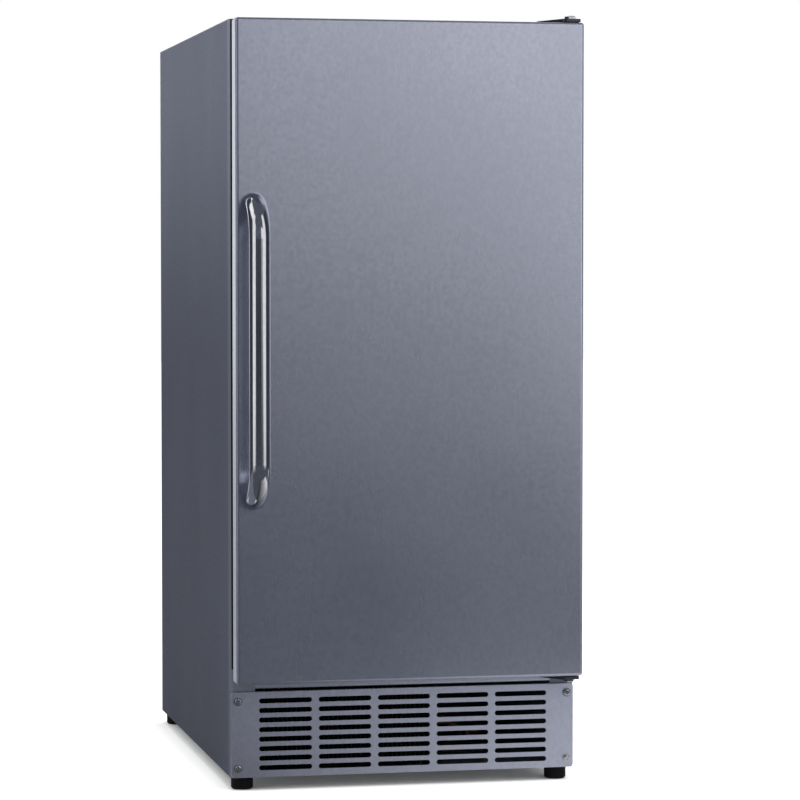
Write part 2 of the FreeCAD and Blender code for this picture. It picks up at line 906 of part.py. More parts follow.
def inner_liner():
    """The moulded storage box with its front flange."""
    flange_half = inside_half - liner_wall
    low = (-flange_half, front + sheet_thick, deck_low + sheet_thick)
    high = (flange_half, foam_front, top - sheet_thick - liner_wall)
    shell = join(shell_block(front + sheet_thick), box(low, high))
    holes = pipe_holes(shell_step - liner_wall, cav_step + liner_wall) + maker_screw_holes()
    node(cut(shell, cavity_block(), *holes), "inner_liner")


def lower_front_rail():
    """The rail between door and kick plate, rolled back along its lower edge."""
    points = (
        (front, rail_low),
        (front + rail_return, rail_low),
        (front + rail_return, rail_low + sheet_thick),
        (front + sheet_thick, rail_low + sheet_thick),
        (front + sheet_thick, cav_low),
        (front, cav_low),
    )
    body = new_body()
    sketch = sketch_on(body, "YZ")
    outline(sketch, points)
    channel = pad(body, sketch, (half - flange_width) * 2, midplane=True)

    def outer_bend(line):
        return runs(line, "X") and lies(line, "Y", front) and lies(line, "Z", rail_low)

    def inner_bend(line):
        at_front = lies(line, "Y", front + sheet_thick)
        return runs(line, "X") and at_front and lies(line, "Z", rail_low + sheet_thick)

    bend = fillet(body, channel, rail_bend, outer_bend)
    fillet(body, bend, rail_bend - sheet_thick, inner_bend)
    left_spot, _ = bottom_hinge_spots()
    hole = rod(hinge_screw_dia, front, front + sheet_thick, "Y", left_spot)
    node(cut(body, hole), "lower_front_rail")


def grille_panel():
    """The kick plate with its rows of round-ended slots."""
    body = new_body()
    sketch = sketch_on(body, "XZ", -front)
    outline(sketch, ((-half, bottom), (half, bottom), (half, grille_top), (-half, grille_top)))
    plate = pad(body, sketch, grille_thick)
    corners = fillet(body, plate, grille_corner, lambda line: runs(line, "Y"))
    face = front - grille_thick
    fillet(body, corners, grille_edge, lambda line: lies(line, "Y", face))
    slots = sketch_on(body, "XZ", -front)
    first = -slot_pitch * ((slot_columns - 1) / 2)
    slot(slots, (first, row_low), slot_length, slot_width)
    opening = pocket(body, slots)
    columns = ("H_Axis", slot_pitch, slot_columns)
    rows = ("V_Axis", row_pitch, slot_rows)
    pattern(body, opening, slots, (columns, rows))
    hole_dia = screw_thread + turn_gap * 2
    holes = [rod(hole_dia, face, front, "Y", spot) for spot in grille_screw_spots()]
    node(cut(body, *holes), "grille_panel")


def grille_screw_spots():
    """Where the four corner screws of the kick plate sit, across and up."""
    reach = half - screw_inset
    return [(reach * side, height) for side in (-1, 1) for height in (row_low, row_high)]


def screw(seat, spot):
    """A cross-slot screw with a washer, driven in along +Y through a face at seat."""
    washer_top = seat - screw_washer_thick
    head_top = washer_top - screw_head_height
    washer = rod(screw_washer, washer_top, seat, "Y", spot)
    head = rod(screw_head, head_top, washer_top, "Y", spot)
    shank = rod(screw_thread, seat, seat + screw_length, "Y", spot)
    head = rounded(head, screw_head_height * CROWN_SHARE, lambda edge: lies(edge, "Y", head_top))
    across, up = spot
    reach, thin = screw_head / 4, screw_cross / 2
    depth = head_top + screw_head_height / 2
    level = box((across - reach, head_top, up - thin), (across + reach, depth, up + thin))
    upright = box((across - thin, head_top, up - reach), (across + thin, depth, up + reach))
    return cut(join(washer, head, shank), level, upright)


def grille_screws():
    """The corner screws of the kick plate."""
    screws = [screw(front - grille_thick, spot) for spot in grille_screw_spots()]
    node(group(*screws), "grille_screws")


# Base, rear cover and feet

def foot_spots():
    """Where the feet stand, with the name of each."""
    reach = half - foot_inset
    return (
        ("front_left_foot", (-reach, front + foot_setback)),
        ("front_right_foot", (reach, front + foot_setback)),
        ("rear_left_foot", (-reach, rear - foot_setback)),
        ("rear_right_foot", (reach, rear - foot_setback)),
    )


def base_pan():
    """The floor of the machine space, with a lip for the rear cover."""
    floor = box((-inside_half, foam_front, bottom), (inside_half, rear, pan_top))
    lip_low = (-inside_half, cover_inside - sheet_thick, bottom)
    lip = box(lip_low, (inside_half, cover_inside, pan_top + pan_lip))
    stud_hole = stud_dia + fit_gap * 2
    holes = [rod(stud_hole, bottom, pan_top, "Z", spot) for _, spot in foot_spots()]
    holes += cover_screw_holes(pan_top + pan_lip / 2)
    node(cut(join(floor, lip), *holes), "base_pan")


def foot_nuts():
    """The nuts on the pan that the feet screw into."""
    nuts = []
    for _, spot in foot_spots():
        blank = hexagon(nut_width, pan_top, pan_top + nut_thick, spot)
        bore = rod(stud_dia + turn_gap * 2, pan_top, pan_top + nut_thick, "Z", spot)
        nuts.append(cut(blank, bore))
    node(group(*nuts), "foot_nuts")


def foot(name, spot):
    """A levelling foot, screwed right in."""
    radius, shoulder = foot_dia / 2, foot_height - fit_gap
    points = (
        (0, 0),
        (radius - foot_edge, 0),
        (radius, foot_edge),
        (radius, shoulder),
        (stud_dia / 2, shoulder),
        (stud_dia / 2, shoulder + stud_length),
        (0, shoulder + stud_length),
    )
    body = turned(points)
    place(body, (spot[0], spot[1], 0))
    node(body, name)


def cover_screw_spots():
    """Where the rear cover is screwed on, across and up."""
    reach = inside_half - pan_lip
    heights = (pan_top + pan_lip / 2, deck_high - pan_lip / 2)
    return [(reach * side, height) for height in heights for side in (-1, 1)]


def cover_screw_holes(height):
    """Holes for the two rear cover screws at one height, through cover and lip."""
    reach = inside_half - pan_lip
    start, end = cover_inside - sheet_thick, cover_face
    hole_dia = screw_thread + turn_gap * 2
    return [rod(hole_dia, start, end, "Y", (reach * side, height)) for side in (-1, 1)]


def rear_cover():
    """The vented sheet behind the compressor, with the water and power inlets."""
    body = new_body()
    sketch = sketch_on(body, "XZ", -cover_face)
    low, high = pan_top, deck_high
    outline(sketch, ((-inside_half, low), (inside_half, low), (inside_half, high), (-inside_half, high)))
    pad(body, sketch, sheet_thick)
    rows = int((high - low - louvre_margin * 2).number / louvre_pitch.number)
    louvres = sketch_on(body, "XZ", -cover_face)
    slot(louvres, (comp_x, low + pan_lip * 2), louvre_length, louvre_width)
    opening = pocket(body, louvres)
    pattern(body, opening, louvres, (("V_Axis", louvre_pitch, rows),))
    port_hole = rod(port_collar + fit_gap * 2, cover_inside, cover_face, "Y", (valve_x, valve_height))
    gland_hole = rod(gland_dia, cover_inside, cover_face, "Y", (gland_x, gland_height))
    holes = cover_screw_holes(pan_top + pan_lip / 2) + cover_screw_holes(deck_high - pan_lip / 2)
    node(cut(body, port_hole, gland_hole, *holes), "rear_cover")


def panel_screws():
    """The plain screws that hold the rear cover and the ice maker."""
    screws = []
    crown = cover_face + screw_head_height
    for spot in cover_screw_spots():
        head = rod(screw_head, cover_face, crown, "Y", spot)
        head = rounded(head, screw_head_height * CROWN_SHARE, lambda edge: lies(edge, "Y", crown))
        shank = rod(screw_thread, cover_face - screw_length, cover_face, "Y", spot)
        screws.append(join(head, shank))
    seat = -cav_half + mould_flange_thick
    wall_crown = seat + screw_head_height
    for spot in maker_screw_spots():
        head = rod(screw_head, seat, wall_crown, "X", spot)
        head = rounded(head, screw_head_height * CROWN_SHARE, lambda edge: lies(edge, "X", wall_crown))
        shank = rod(screw_thread, -shell_half, seat, "X", spot)
        screws.append(join(head, shank))
    node(group(*screws), "panel_screws")


# Door

def door_block(inset, back, radius):
    """The door's outer block, shrunk on the front and all round by an inset."""
    low = (-half + inset, door_face + inset, door_low + inset)
    high = (half - inset, back, door_high - inset)
    return rounded(box(low, high), radius, lambda edge: not lies(edge, "Y", back))


def handle_ends():
    """Where the handle meets the door, across and up."""
    return [(handle_x, height) for height in (handle_low, handle_high)]


def bush_places():
    """The two hinge bushes: where each starts and ends, and its collar."""
    deep = pin_length + bush_wall
    return (
        (door_high - deep, door_high, door_high, door_high + bush_collar),
        (door_low, door_low + deep, door_low - bush_collar, door_low),
    )


def bush_dia():
    """The outside of a hinge bush."""
    return pin_dia + turn_gap * 2 + bush_wall * 2


def hinge_bushes():
    """The plastic bushes in the door that the hinge pins turn in."""
    spot = (hinge_x, hinge_y)
    bushes = []
    for low, high, collar_low, collar_high in bush_places():
        sleeve = rod(bush_dia(), low, high, "Z", spot)
        collar = rod(bush_dia() + bush_collar_width * 2, collar_low, collar_high, "Z", spot)
        bore_low = low - bush_collar
        bore = rod(pin_dia + turn_gap * 2, bore_low, high + bush_collar, "Z", spot)
        bushes.append(cut(join(sleeve, collar), bore))
    node(group(*bushes), "hinge_bushes")


def door_skin():
    """The folded steel pan of the door."""
    outside = door_block(as_size(0), door_back, door_round)
    inside = door_block(skin_thick, door_back, door_round - skin_thick)
    spot = (hinge_x, hinge_y)
    holes = [rod(bush_dia(), low, high, "Z", spot) for low, high, _, _ in bush_places()]
    holes += [rod(handle_thread, door_face, door_face + skin_thick, "Y", end) for end in handle_ends()]
    node(cut(outside, inside, *holes), "door_skin")


def dyke_block(inset):
    """The raised panel of the door liner, shrunk by an inset."""
    reach = cav_half - dyke_inset - inset
    end = front + dyke_depth - inset
    low = (-reach, door_back - liner_wall, cav_low + dyke_inset + inset)
    high = (reach, end, cav_high - dyke_inset - inset)
    block = rounded(box(low, high), dyke_round - inset, lambda edge: runs(edge, "Y"))
    return rounded(block, dyke_round / 2 - inset, lambda edge: lies(edge, "Y", end))


def door_foam():
    """The insulation inside the door."""
    block = door_block(skin_thick, door_back - liner_wall, door_round - skin_thick)
    spot = (hinge_x, hinge_y)
    holes = [rod(bush_dia(), low, high, "Z", spot) for low, high, _, _ in bush_places()]
    start = door_face + skin_thick
    end = start + handle_screw_head_height
    holes += [rod(handle_screw_head, start, end, "Y", spot) for spot in handle_ends()]
    node(cut(join(block, dyke_block(liner_wall)), *holes), "door_foam")


def door_liner():
    """The moulded inside face of the door with its raised panel."""
    slab_low = (-half, door_back - liner_wall, door_low)
    slab = box(slab_low, (half, door_back, door_high))
    plate = common(door_block(skin_thick, door_back, door_round - skin_thick), slab)
    raised = join(plate, dyke_block(as_size(0)))
    node(cut(raised, dyke_block(liner_wall)), "door_liner")


def door_gasket():
    """The welded frame of seal, near the edge except where the bottom hinge needs room."""
    face = front - fit_gap
    body = new_body()
    sketch = sketch_on(body, "XZ", -face)
    for inner in (as_size(0), gasket_width):
        left, right = -half + gasket_edge + inner, half - gasket_inset - inner
        low, high = door_low + gasket_inset + inner, door_high - gasket_edge - inner
        outline(sketch, ((left, low), (right, low), (right, high), (left, high)))
    frame = pad(body, sketch, door_gap - fit_gap)
    fillet(body, frame, gasket_round, lambda line: lies(line, "Y", face))
    node(body, "door_gasket")


def door_handle():
    """The bent tube handle."""
    body = new_body()
    body_sketch = sketch_on(body, "YZ", handle_x)
    bend_line = handle_line + handle_bend
    low_turn, high_turn = handle_low + handle_bend, handle_high - handle_bend

    def at(across, up):
        return Vector(across.number, up.number, 0)

    def quarter(across, up, start):
        ring = Part.Circle(at(across, up), Vector(0, 0, 1), handle_bend.number)
        return Part.ArcOfCircle(ring, start, start + math.pi / 2)

    body_sketch.addGeometry(Part.LineSegment(at(door_face, handle_low), at(bend_line, handle_low)))
    body_sketch.addGeometry(quarter(bend_line, low_turn, math.pi))
    body_sketch.addGeometry(Part.LineSegment(at(handle_line, low_turn), at(handle_line, high_turn)))
    body_sketch.addGeometry(quarter(bend_line, high_turn, math.pi / 2))
    body_sketch.addGeometry(Part.LineSegment(at(bend_line, handle_high), at(door_face, handle_high)))
    for first, first_end, second, second_end in ((0, 2, 1, 2), (1, 1, 2, 1), (2, 2, 3, 2), (3, 1, 4, 1)):
        touch = Sketcher.Constraint("Tangent", first, first_end, second, second_end)
        body_sketch.addConstraint(touch)
    body_sketch.addConstraint(Sketcher.Constraint("Horizontal", 0))
    body_sketch.addConstraint(Sketcher.Constraint("Vertical", 2))
    body_sketch.addConstraint(Sketcher.Constraint("Horizontal", 4))
    hold_radius(body_sketch, 1, handle_bend)
    hold_radius(body_sketch, 3, handle_bend)
    hold(body_sketch, "DistanceX", 0, 1, door_face)
    hold(body_sketch, "DistanceY", 0, 1, handle_low)
    hold(body_sketch, "DistanceX", 2, 1, handle_line)
    hold(body_sketch, "DistanceX", 4, 2, door_face)
    hold(body_sketch, "DistanceY", 4, 2, handle_high)
    ring = sketch_on(body, "XZ", -door_face)
    circle(ring, (handle_x, handle_low), handle_dia)
    pipe = body.newObject("PartDesign::AdditivePipe", "Pipe")
    pipe.Profile = ring
    pipe.Spine = body_sketch
    thread_end = door_face + skin_thick - handle_screw_length
    holes = [rod(handle_thread, thread_end, door_face, "Y", spot) for spot in handle_ends()]
    node(cut(body, *holes), "door_handle")


def handle_screws():
    """The two screws that hold the handle from inside the door."""
    screws = []
    seat = door_face + skin_thick
    for spot in handle_ends():
        shank = rod(handle_thread, seat - handle_screw_length, seat, "Y", spot)
        head = rod(handle_screw_head, seat, seat + handle_screw_head_height, "Y", spot)
        screws.append(join(shank, head))
    node(group(*screws), "handle_screws")


# Hinges

def top_hinge_spots():
    """Where the top hinge is screwed down, across and back."""
    right, left = half - hinge_edge - hinge_screw_inset, half - hinge_width + hinge_screw_inset
    back, near = front + hinge_seat - hinge_screw_inset, front + hinge_screw_inset
    return ((right, back), (left, back), (right, near))


def top_hinge_bracket():
    """The tapered plate on the cabinet top that reaches over the door."""
    right, left = half - hinge_edge, half - hinge_width
    back, nose = front + hinge_seat, hinge_y - hinge_nose
    body = new_body()
    sketch = sketch_on(body, "XY", top)
    nose_left = hinge_x - hinge_nose
    outline(sketch, ((right, back), (left, back), (left, front), (nose_left, nose), (right, nose)))
    plate = pad(body, sketch, hinge_plate)
    fillet(body, plate, hinge_nose / 2, lambda line: runs(line, "Z"))
    pin_hole = rod(pin_dia, top, top + hinge_plate, "Z", (hinge_x, hinge_y))
    holes = [rod(hinge_screw_dia, top, top + hinge_plate, "Z", spot) for spot in top_hinge_spots()]
    node(cut(body, pin_hole, *holes), "top_hinge_bracket")


def top_hinge_pin():
    """The headed pin that the door's top bush turns on."""
    spot = (hinge_x, hinge_y)
    seat = top + hinge_plate
    crown = seat + pin_head_height
    head = hexagon(pin_head, seat, crown, spot)
    head = rounded(head, pin_head_height / 3, lambda edge: lies(edge, "Z", crown))
    shank = rod(pin_dia, door_high - pin_length, seat, "Z", spot)
    node(join(head, shank), "top_hinge_pin")


def top_hinge_screws():
    """The screws of the top hinge plate."""
    screws = []
    seat = top + hinge_plate
    for spot in top_hinge_spots():
        head = rod(hinge_screw_head, seat, seat + screw_head_height, "Z", spot)
        crown = seat + screw_head_height
        head = rounded(head, screw_head_height * CROWN_SHARE, lambda edge: lies(edge, "Z", crown))
        shank = rod(hinge_screw_dia, top - sheet_thick, seat, "Z", spot)
        screws.append(join(head, shank))
    node(group(*screws), "top_hinge_screws")


def bottom_hinge_spots():
    """Where the bottom hinge is screwed on, across and up."""
    height = door_low + hinge_leg_rise / 2
    left = half - hinge_leg_width + hinge_screw_inset
    right = half - hinge_edge - hinge_screw_inset
    return ((left, height), (right, height))


def bottom_hinge_bracket():
    """The angle under the door that carries its weight."""
    right, left = half - hinge_edge, half - hinge_leg_width
    plate_high = door_low - door_top_gap
    plate_low = plate_high - hinge_plate
    nose = hinge_y - hinge_nose
    body = new_body()
    sketch = sketch_on(body, "XY", plate_low)
    outline(sketch, ((right, front), (left, front), (hinge_x - hinge_nose, nose), (right, nose)))
    plate = pad(body, sketch, hinge_plate)
    fillet(body, plate, hinge_nose / 2, lambda line: runs(line, "Z") and lies(line, "Y", nose))
    leg = box((left, front - hinge_plate, plate_low), (right, front, door_low + hinge_leg_rise))
    pin_hole = rod(pin_dia, plate_low, plate_high, "Z", (hinge_x, hinge_y))
    seats = []
    for spot in bottom_hinge_spots():
        start = front - hinge_plate
        sunk = start + hinge_plate * SINK_SHARE
        seats.append(cone(hinge_screw_head, hinge_screw_dia, start, sunk, "Y", spot))
        seats.append(rod(hinge_screw_dia, start, front, "Y", spot))
    node(cut(join(body, leg), pin_hole, *seats), "bottom_hinge_bracket")


def bottom_hinge_pin():
    """The headed pin that the door's bottom bush turns on."""
    spot = (hinge_x, hinge_y)
    seat = door_low - door_top_gap - hinge_plate
    crown = seat - pin_head_height
    head = hexagon(pin_head, crown, seat, spot)
    head = rounded(head, pin_head_height / 3, lambda edge: lies(edge, "Z", crown))
    shank = rod(pin_dia, seat, door_low + pin_length, "Z", spot)
    node(join(head, shank), "bottom_hinge_pin")


def bottom_hinge_screws():
    """The countersunk screws of the bottom hinge."""
    screws = []
    start = front - hinge_plate
    for spot in bottom_hinge_spots():
        sunk = start + hinge_plate * SINK_SHARE
        head = cone(hinge_screw_head, hinge_screw_dia, start, sunk, "Y", spot)
        shank = rod(hinge_screw_dia, sunk, front + sheet_thick, "Y", spot)
        screws.append(join(head, shank))
    node(group(*screws), "bottom_hinge_screws")


# Refrigeration

def compressor():
    """The sealed compressor shell, welded to its base plate."""
    radius = comp_dia / 2
    high = comp_low + comp_height
    body = turned(((0, comp_low), (radius, comp_low), (radius, high), (0, high)))
    shell = body.Tip
    crown = fillet(body, shell, comp_round, lambda edge: lies(edge, "Z", high))
    fillet(body, crown, comp_round / 3, lambda edge: lies(edge, "Z", comp_low))
    place(body, (comp_x, comp_y, 0))
    wide, deep = comp_base_width / 2, comp_base_depth / 2
    low = (comp_x - wide, comp_y - deep, comp_low - comp_base_thick)
    plate = box(low, (comp_x + wide, comp_y + deep, comp_low))
    plate = rounded(plate, comp_bolt_inset, lambda edge: runs(edge, "Z"))
    node(join(body, plate), "compressor")


def compressor_grommets():
    """The rubber feet that the compressor stands on."""
    wide, deep = comp_base_width / 2 - comp_bolt_inset, comp_base_depth / 2 - comp_bolt_inset
    grommets = []
    for across in (-1, 1):
        for back in (-1, 1):
            spot = (comp_x + wide * across, comp_y + deep * back)
            grommets.append(rod(grommet_dia, pan_top, pan_top + grommet_height, "Z", spot))
    node(group(*grommets), "compressor_grommets")


def relay_cover():
    """The cover over the compressor's terminals."""
    side = comp_x + comp_dia / 2
    low = (side - comp_round / 2, comp_y - relay_width / 2, comp_low + relay_rise)
    high = (side + relay_depth, comp_y + relay_width / 2, comp_low + relay_rise + relay_height)
    shell = rod(comp_dia, comp_low, comp_low + comp_height, "Z", (comp_x, comp_y))
    node(cut(box(low, high), shell), "relay_cover")


def condenser():
    """The finned condenser block behind the kick plate."""
    left, right = -half + cond_left, -half + cond_left + cond_width
    middle = (cond_front + cond_back) / 2
    low, high = pan_top + cond_gap, deck_low - cond_gap
    body = new_body()
    core = sketch_on(body, "XY", low)
    core_front, core_back = middle - cond_core / 2, middle + cond_core / 2
    outline(core, ((left, core_front), (right, core_front), (right, core_back), (left, core_back)))
    pad(body, core, high - low)
    fin = sketch_on(body, "XY", low)
    fin_right = left + fin_thick
    outline(fin, ((left, cond_front), (fin_right, cond_front), (fin_right, cond_back), (left, cond_back)))
    first = pad(body, fin, high - low)
    count = int(cond_width.number / fin_pitch.number)
    pattern(body, first, fin, (("H_Axis", fin_pitch, count),))
    feet = [
        box((x - cond_core, core_front, pan_top), (x + cond_core, core_back, low))
        for x in (left + cond_core, right - cond_core)
    ]
    node(join(body, *feet), "condenser")


def fan_shroud():
    """The plate that the fan blows through."""
    reach = cond_width / 2
    low = (fan_x - reach, shroud_front, pan_top)
    plate = box(low, (fan_x + reach, shroud_front + shroud_thick, deck_low))
    mouth = rod(fan_dia + fan_tip_gap * 2, shroud_front, fan_front, "Y", (fan_x, fan_z))
    node(cut(plate, mouth), "fan_shroud")


def fan_blade():
    """The fan wheel on its shaft."""
    body = new_body()
    hub = sketch_on(body, "XY")
    circle(hub, (0, 0), fan_hub_dia)
    pad(body, hub, fan_width)
    root = fan_hub_dia / 2 - fan_blade_thick
    blade = sketch_on(body, "YZ", root)
    low, high, thin = fan_blade_thick, fan_width - fan_blade_thick, fan_blade_thick
    outline(blade, ((-high / 2, low), (-high / 2 + thin, low), (high / 2, high), (high / 2 - thin, high)))
    vane = pad(body, blade, fan_dia / 2 - root - fan_blade_thick)
    ring = body.newObject("PartDesign::PolarPattern", "Ring")
    ring.Originals = [vane]
    ring.Axis = (hub, ["N_Axis"])
    ring.Angle = 360
    ring.Occurrences = 6
    body.Tip = ring
    place(body, (fan_x, fan_front, fan_z), TURNS["Y"])
    shaft = rod(fan_shaft_dia, fan_front, motor_front + fan_shaft_length, "Y", (fan_x, fan_z))
    node(join(body, shaft), "fan_blade")


def fan_motor():
    """The fan motor on its foot."""
    spot = (fan_x, fan_z)
    can = rod(motor_dia, motor_front, motor_front + motor_length, "Y", spot)
    leg_low = (fan_x - motor_leg, motor_front + motor_leg, pan_top)
    leg = box(leg_low, (fan_x + motor_leg, motor_front + motor_leg * 2, fan_z))
    bore_end = motor_front + fan_shaft_length + turn_gap
    bore = rod(fan_shaft_dia + turn_gap * 2, motor_front, bore_end, "Y", spot)
    node(cut(join(can, leg), bore), "fan_motor")


def filter_drier():
    """The filter drier lying between condenser and capillary."""
    spot = (evap_riser, drier_z)
    body = rod(drier_dia, drier_front, drier_front + drier_length, "Y", spot)
    node(rounded(body, drier_dia / 4, lambda edge: not runs(edge, "Y")), "filter_drier")


def refrigerant_pipes():
    """The pipes between compressor, condenser, drier and evaporator."""
    cond_right = -half + cond_left + cond_width
    cond_line = (cond_front + cond_back) / 2
    comp_front = comp_y - comp_dia / 2
    comp_left = comp_x - comp_dia / 2
    pipe_z = comp_low + pipe_bend * 2
    aside = cond_right + pipe_bend * 2
    discharge = (
        (comp_x, comp_front, pipe_z),
        (comp_x, comp_front - pipe_leg, pipe_z),
        (aside, comp_front - pipe_leg, pipe_z),
        (aside, cond_line, pipe_z),
        (cond_right, cond_line, pipe_z),
    )
    node(tube(discharge, pipe_dia, pipe_bend), "discharge_tube")
    liquid = (
        (cond_right, cond_line, drier_z),
        (evap_riser, cond_line, drier_z),
        (evap_riser, drier_front, drier_z),
    )
    capillary = (
        (evap_riser, drier_front + drier_length, drier_z),
        (evap_riser, evap_line, drier_z),
        (evap_riser, evap_line, pipe_end),
    )
    thin_pipes = [tube(route, thin_pipe_dia, pipe_bend) for route in (liquid, capillary)]
    node(group(*thin_pipes), "liquid_tubes")
    suction_z = comp_low + comp_height / 2
    loop = comp_left - pipe_bend * 2
    suction = (
        (-evap_riser, evap_line, pipe_end),
        (-evap_riser, evap_line, suction_z),
        (loop, evap_line, suction_z),
        (loop, comp_y, suction_z),
        (comp_left, comp_y, suction_z),
    )
    node(tube(suction, pipe_dia, pipe_bend), "suction_tube")


def evaporator_plate():
    """The cold plate on the back wall, with the bosses that it stands off on."""
    plate = box((-evap_half, evap_face, evap_low), (evap_half, evap_back, evap_high))
    bosses = []
    for side in (-1, 1):
        for height in (evap_low + boss_inset, evap_high - boss_inset):
            spot = ((evap_half - boss_inset) * side, height)
            bosses.append(rod(boss_dia, evap_back, cav_rear, "Y", spot))
    node(join(plate, *bosses), "evaporator_plate")


def evaporator_tube():
    """The pipe that winds to and fro over the cold plate."""
    turn = evap_pitch / 2
    passes = int(evap_height.number / evap_pitch.number)
    passes -= 1 - passes % 2  # an odd number brings the pipe out on the other side
    first = evap_low + turn
    reach = evap_pass_half + turn
    route = [(evap_riser, evap_line, pipe_end), (evap_riser, evap_line, first)]
    side = -1
    for i in range(passes - 1):
        route.append((reach * side, evap_line, first + evap_pitch * i))
        route.append((reach * side, evap_line, first + evap_pitch * (i + 1)))
        side = -side
    route.append((-evap_riser, evap_line, first + evap_pitch * (passes - 1)))
    route.append((-evap_riser, evap_line, pipe_end))
    node(tube(route, pipe_dia, turn), "evaporator_tube")


# Water and power inlets

def water_valve():
    """The inlet valve, with its hose thread standing out of the rear cover."""
    reach = valve_block / 2
    low = (valve_x - reach, cover_inside - valve_block, valve_height - reach)
    block = box(low, (valve_x + reach, cover_inside, valve_height + reach))
    spot = (valve_x, valve_height)
    port_seat = cover_face + port_collar_thick
    collar = rod(port_collar, cover_inside, port_seat, "Y", spot)
    port = rod(port_dia, port_seat, port_seat + port_length, "Y", spot)
    coil_low = valve_height + reach
    coil_spot = (valve_x, cover_inside - reach)
    coil = rod(coil_dia, coil_low, coil_low + coil_height, "Z", coil_spot)
    bore = rod(port_bore, cover_inside - reach, port_seat + port_length, "Y", spot)
    node(cut(join(block, collar, port, coil), bore), "water_valve")


def water_route():
    """The way of the water from the valve up through the foam to the fill cup."""
    return (
        (valve_x - valve_block / 2, water_line, valve_height),
        (maker_x, water_line, valve_height),
        (maker_x, water_line, fill_z),
        (maker_x, cap_back + cup_depth / 2, fill_z),
    )


def water_tube():
    """The water pipe."""
    node(tube(water_route(), water_pipe_dia, pipe_bend), "water_tube")


def cord_gland():
    """The bush in the rear cover where the power cord goes in."""
    spot = (gland_x, gland_height)
    sleeve = rod(gland_dia, cover_face - gland_length, cover_face, "Y", spot)
    collar = rod(gland_collar, cover_face, cover_face + gland_collar_thick, "Y", spot)
    bore = rod(gland_bore, cover_face - gland_length, cover_face + gland_collar_thick, "Y", spot)
    node(cut(join(sleeve, collar), bore), "cord_gland")


# Ice maker

def ice_mould():
    """The cast mould with its row of half-round cups, screwed to the left wall."""
    axis = (maker_x, maker_z)
    outer = rod((ice_radius + mould_wall) * 2, mould_front, mould_back, "Y", axis)
    reach = ice_radius + mould_wall
    low = (maker_x - reach, mould_front, maker_z - reach)
    trough = common(outer, box(low, (maker_x + reach, mould_back, maker_z)))
    rim = box((-cav_half, mould_front, maker_z - mould_rim), (maker_x + reach, mould_back, maker_z))
    flange_high = (-cav_half + mould_flange_thick, mould_back, maker_z + mould_flange)
    flange = box((-cav_half, mould_front, maker_z - mould_rim), flange_high)
    cups = []
    for i in range(ICE_CUBES):
        start = mould_front + ice_wall + ice_pitch * i
        cups.append(rod(ice_radius * 2, start, start + ice_pitch - ice_wall, "Y", axis))
    notch = rod(ejector_dia + shaft_notch * 2, mould_front, mould_back, "Y", axis)
    node(cut(join(trough, rim, flange), notch, *(cups + maker_screw_holes())), "ice_mould")


def maker_screw_spots():
    """Where the ice maker is screwed to the wall, back and up."""
    height = maker_z + mould_flange * FLANGE_SHARE
    return [(place_y, height) for place_y in (mould_front + ice_pitch, mould_back - ice_pitch)]


def maker_screw_holes():
    """Holes for the ice maker's screws, through mould flange and liner wall."""
    start, end = -shell_half, -cav_half + mould_flange_thick
    hole_dia = screw_thread + turn_gap * 2
    return [rod(hole_dia, start, end, "X", spot) for spot in maker_screw_spots()]


def ice_maker_head():
    """The drive housing at the front of the ice maker."""
    low = (maker_x - head_left, head_front, maker_z - head_below)
    case = box(low, (maker_x + head_right, mould_front, maker_z + head_above))
    case = rounded(case, head_round, lambda edge: not lies(edge, "Y", mould_front))
    shaft_start = mould_front - ejector_end - turn_gap
    shaft = rod(ejector_dia + turn_gap * 2, shaft_start, mould_front, "Y", (maker_x, maker_z))
    arm_start = mould_front - arm_end - turn_gap
    arm = rod(arm_dia + turn_gap * 2, arm_start, mould_front, "Y", (arm_x, arm_z))
    wide, tall = rocker_width / 2 + rocker_gap / 2, rocker_height / 2 + rocker_gap
    well_low = (rocker_x - wide, head_front, rocker_z - tall)
    well = box(well_low, (rocker_x + wide, rocker_y + rocker_depth, rocker_z + tall))
    reach = wide + rocker_pin_length
    spot = (rocker_y, rocker_z)
    pin = rod(rocker_pin_dia + turn_gap * 2, rocker_x - reach, rocker_x + reach, "X", spot)
    node(cut(case, shaft, arm, well, pin), "ice_maker_head")


def ejector():
    """The turning shaft with a finger for each cup."""
    shaft_start = mould_front - ejector_end
    shaft = rod(ejector_dia, shaft_start, mould_back + ejector_end, "Y", (maker_x, maker_z))
    fingers = []
    thin, wide = ejector_thick / 2, ejector_width / 2
    for i in range(ICE_CUBES):
        middle = mould_front + ice_wall / 2 + ice_pitch * i + ice_pitch / 2
        low = (maker_x - thin, middle - wide, maker_z)
        fingers.append(box(low, (maker_x + thin, middle + wide, maker_z + ejector_reach)))
    node(join(shaft, *fingers), "ejector")


def stripper_comb():
    """The comb that strips the cubes off the ejector fingers."""
    start = maker_x - ice_radius - mould_wall
    rail_end = start + comb_rail
    tip = maker_x - ejector_dia / 2 - comb_tip_gap
    low, high = maker_z, maker_z + comb_thick
    pieces = [box((start, mould_front, low), (rail_end, mould_back, high))]
    for i in range(1, ICE_CUBES):
        middle = mould_front + ice_wall / 2 + ice_pitch * i
        edge = middle - comb_finger / 2
        pieces.append(box((start, edge, low), (tip, edge + comb_finger, high)))
    node(join(*pieces), "stripper_comb")


def shutoff_arm():
    """The wire arm that feels how high the ice has piled."""
    near, far = mould_front + arm_step, mould_back - arm_step
    route = (
        (arm_x, mould_front - arm_end, arm_z),
        (arm_x, near, arm_z),
        (arm_x + arm_out, near, arm_z - arm_drop),
        (arm_x + arm_out, far, arm_z - arm_drop),
        (arm_x, far, arm_z),
        (arm_x, mould_back + arm_end, arm_z),
    )
    node(tube(route, arm_dia, arm_bend), "shutoff_arm")


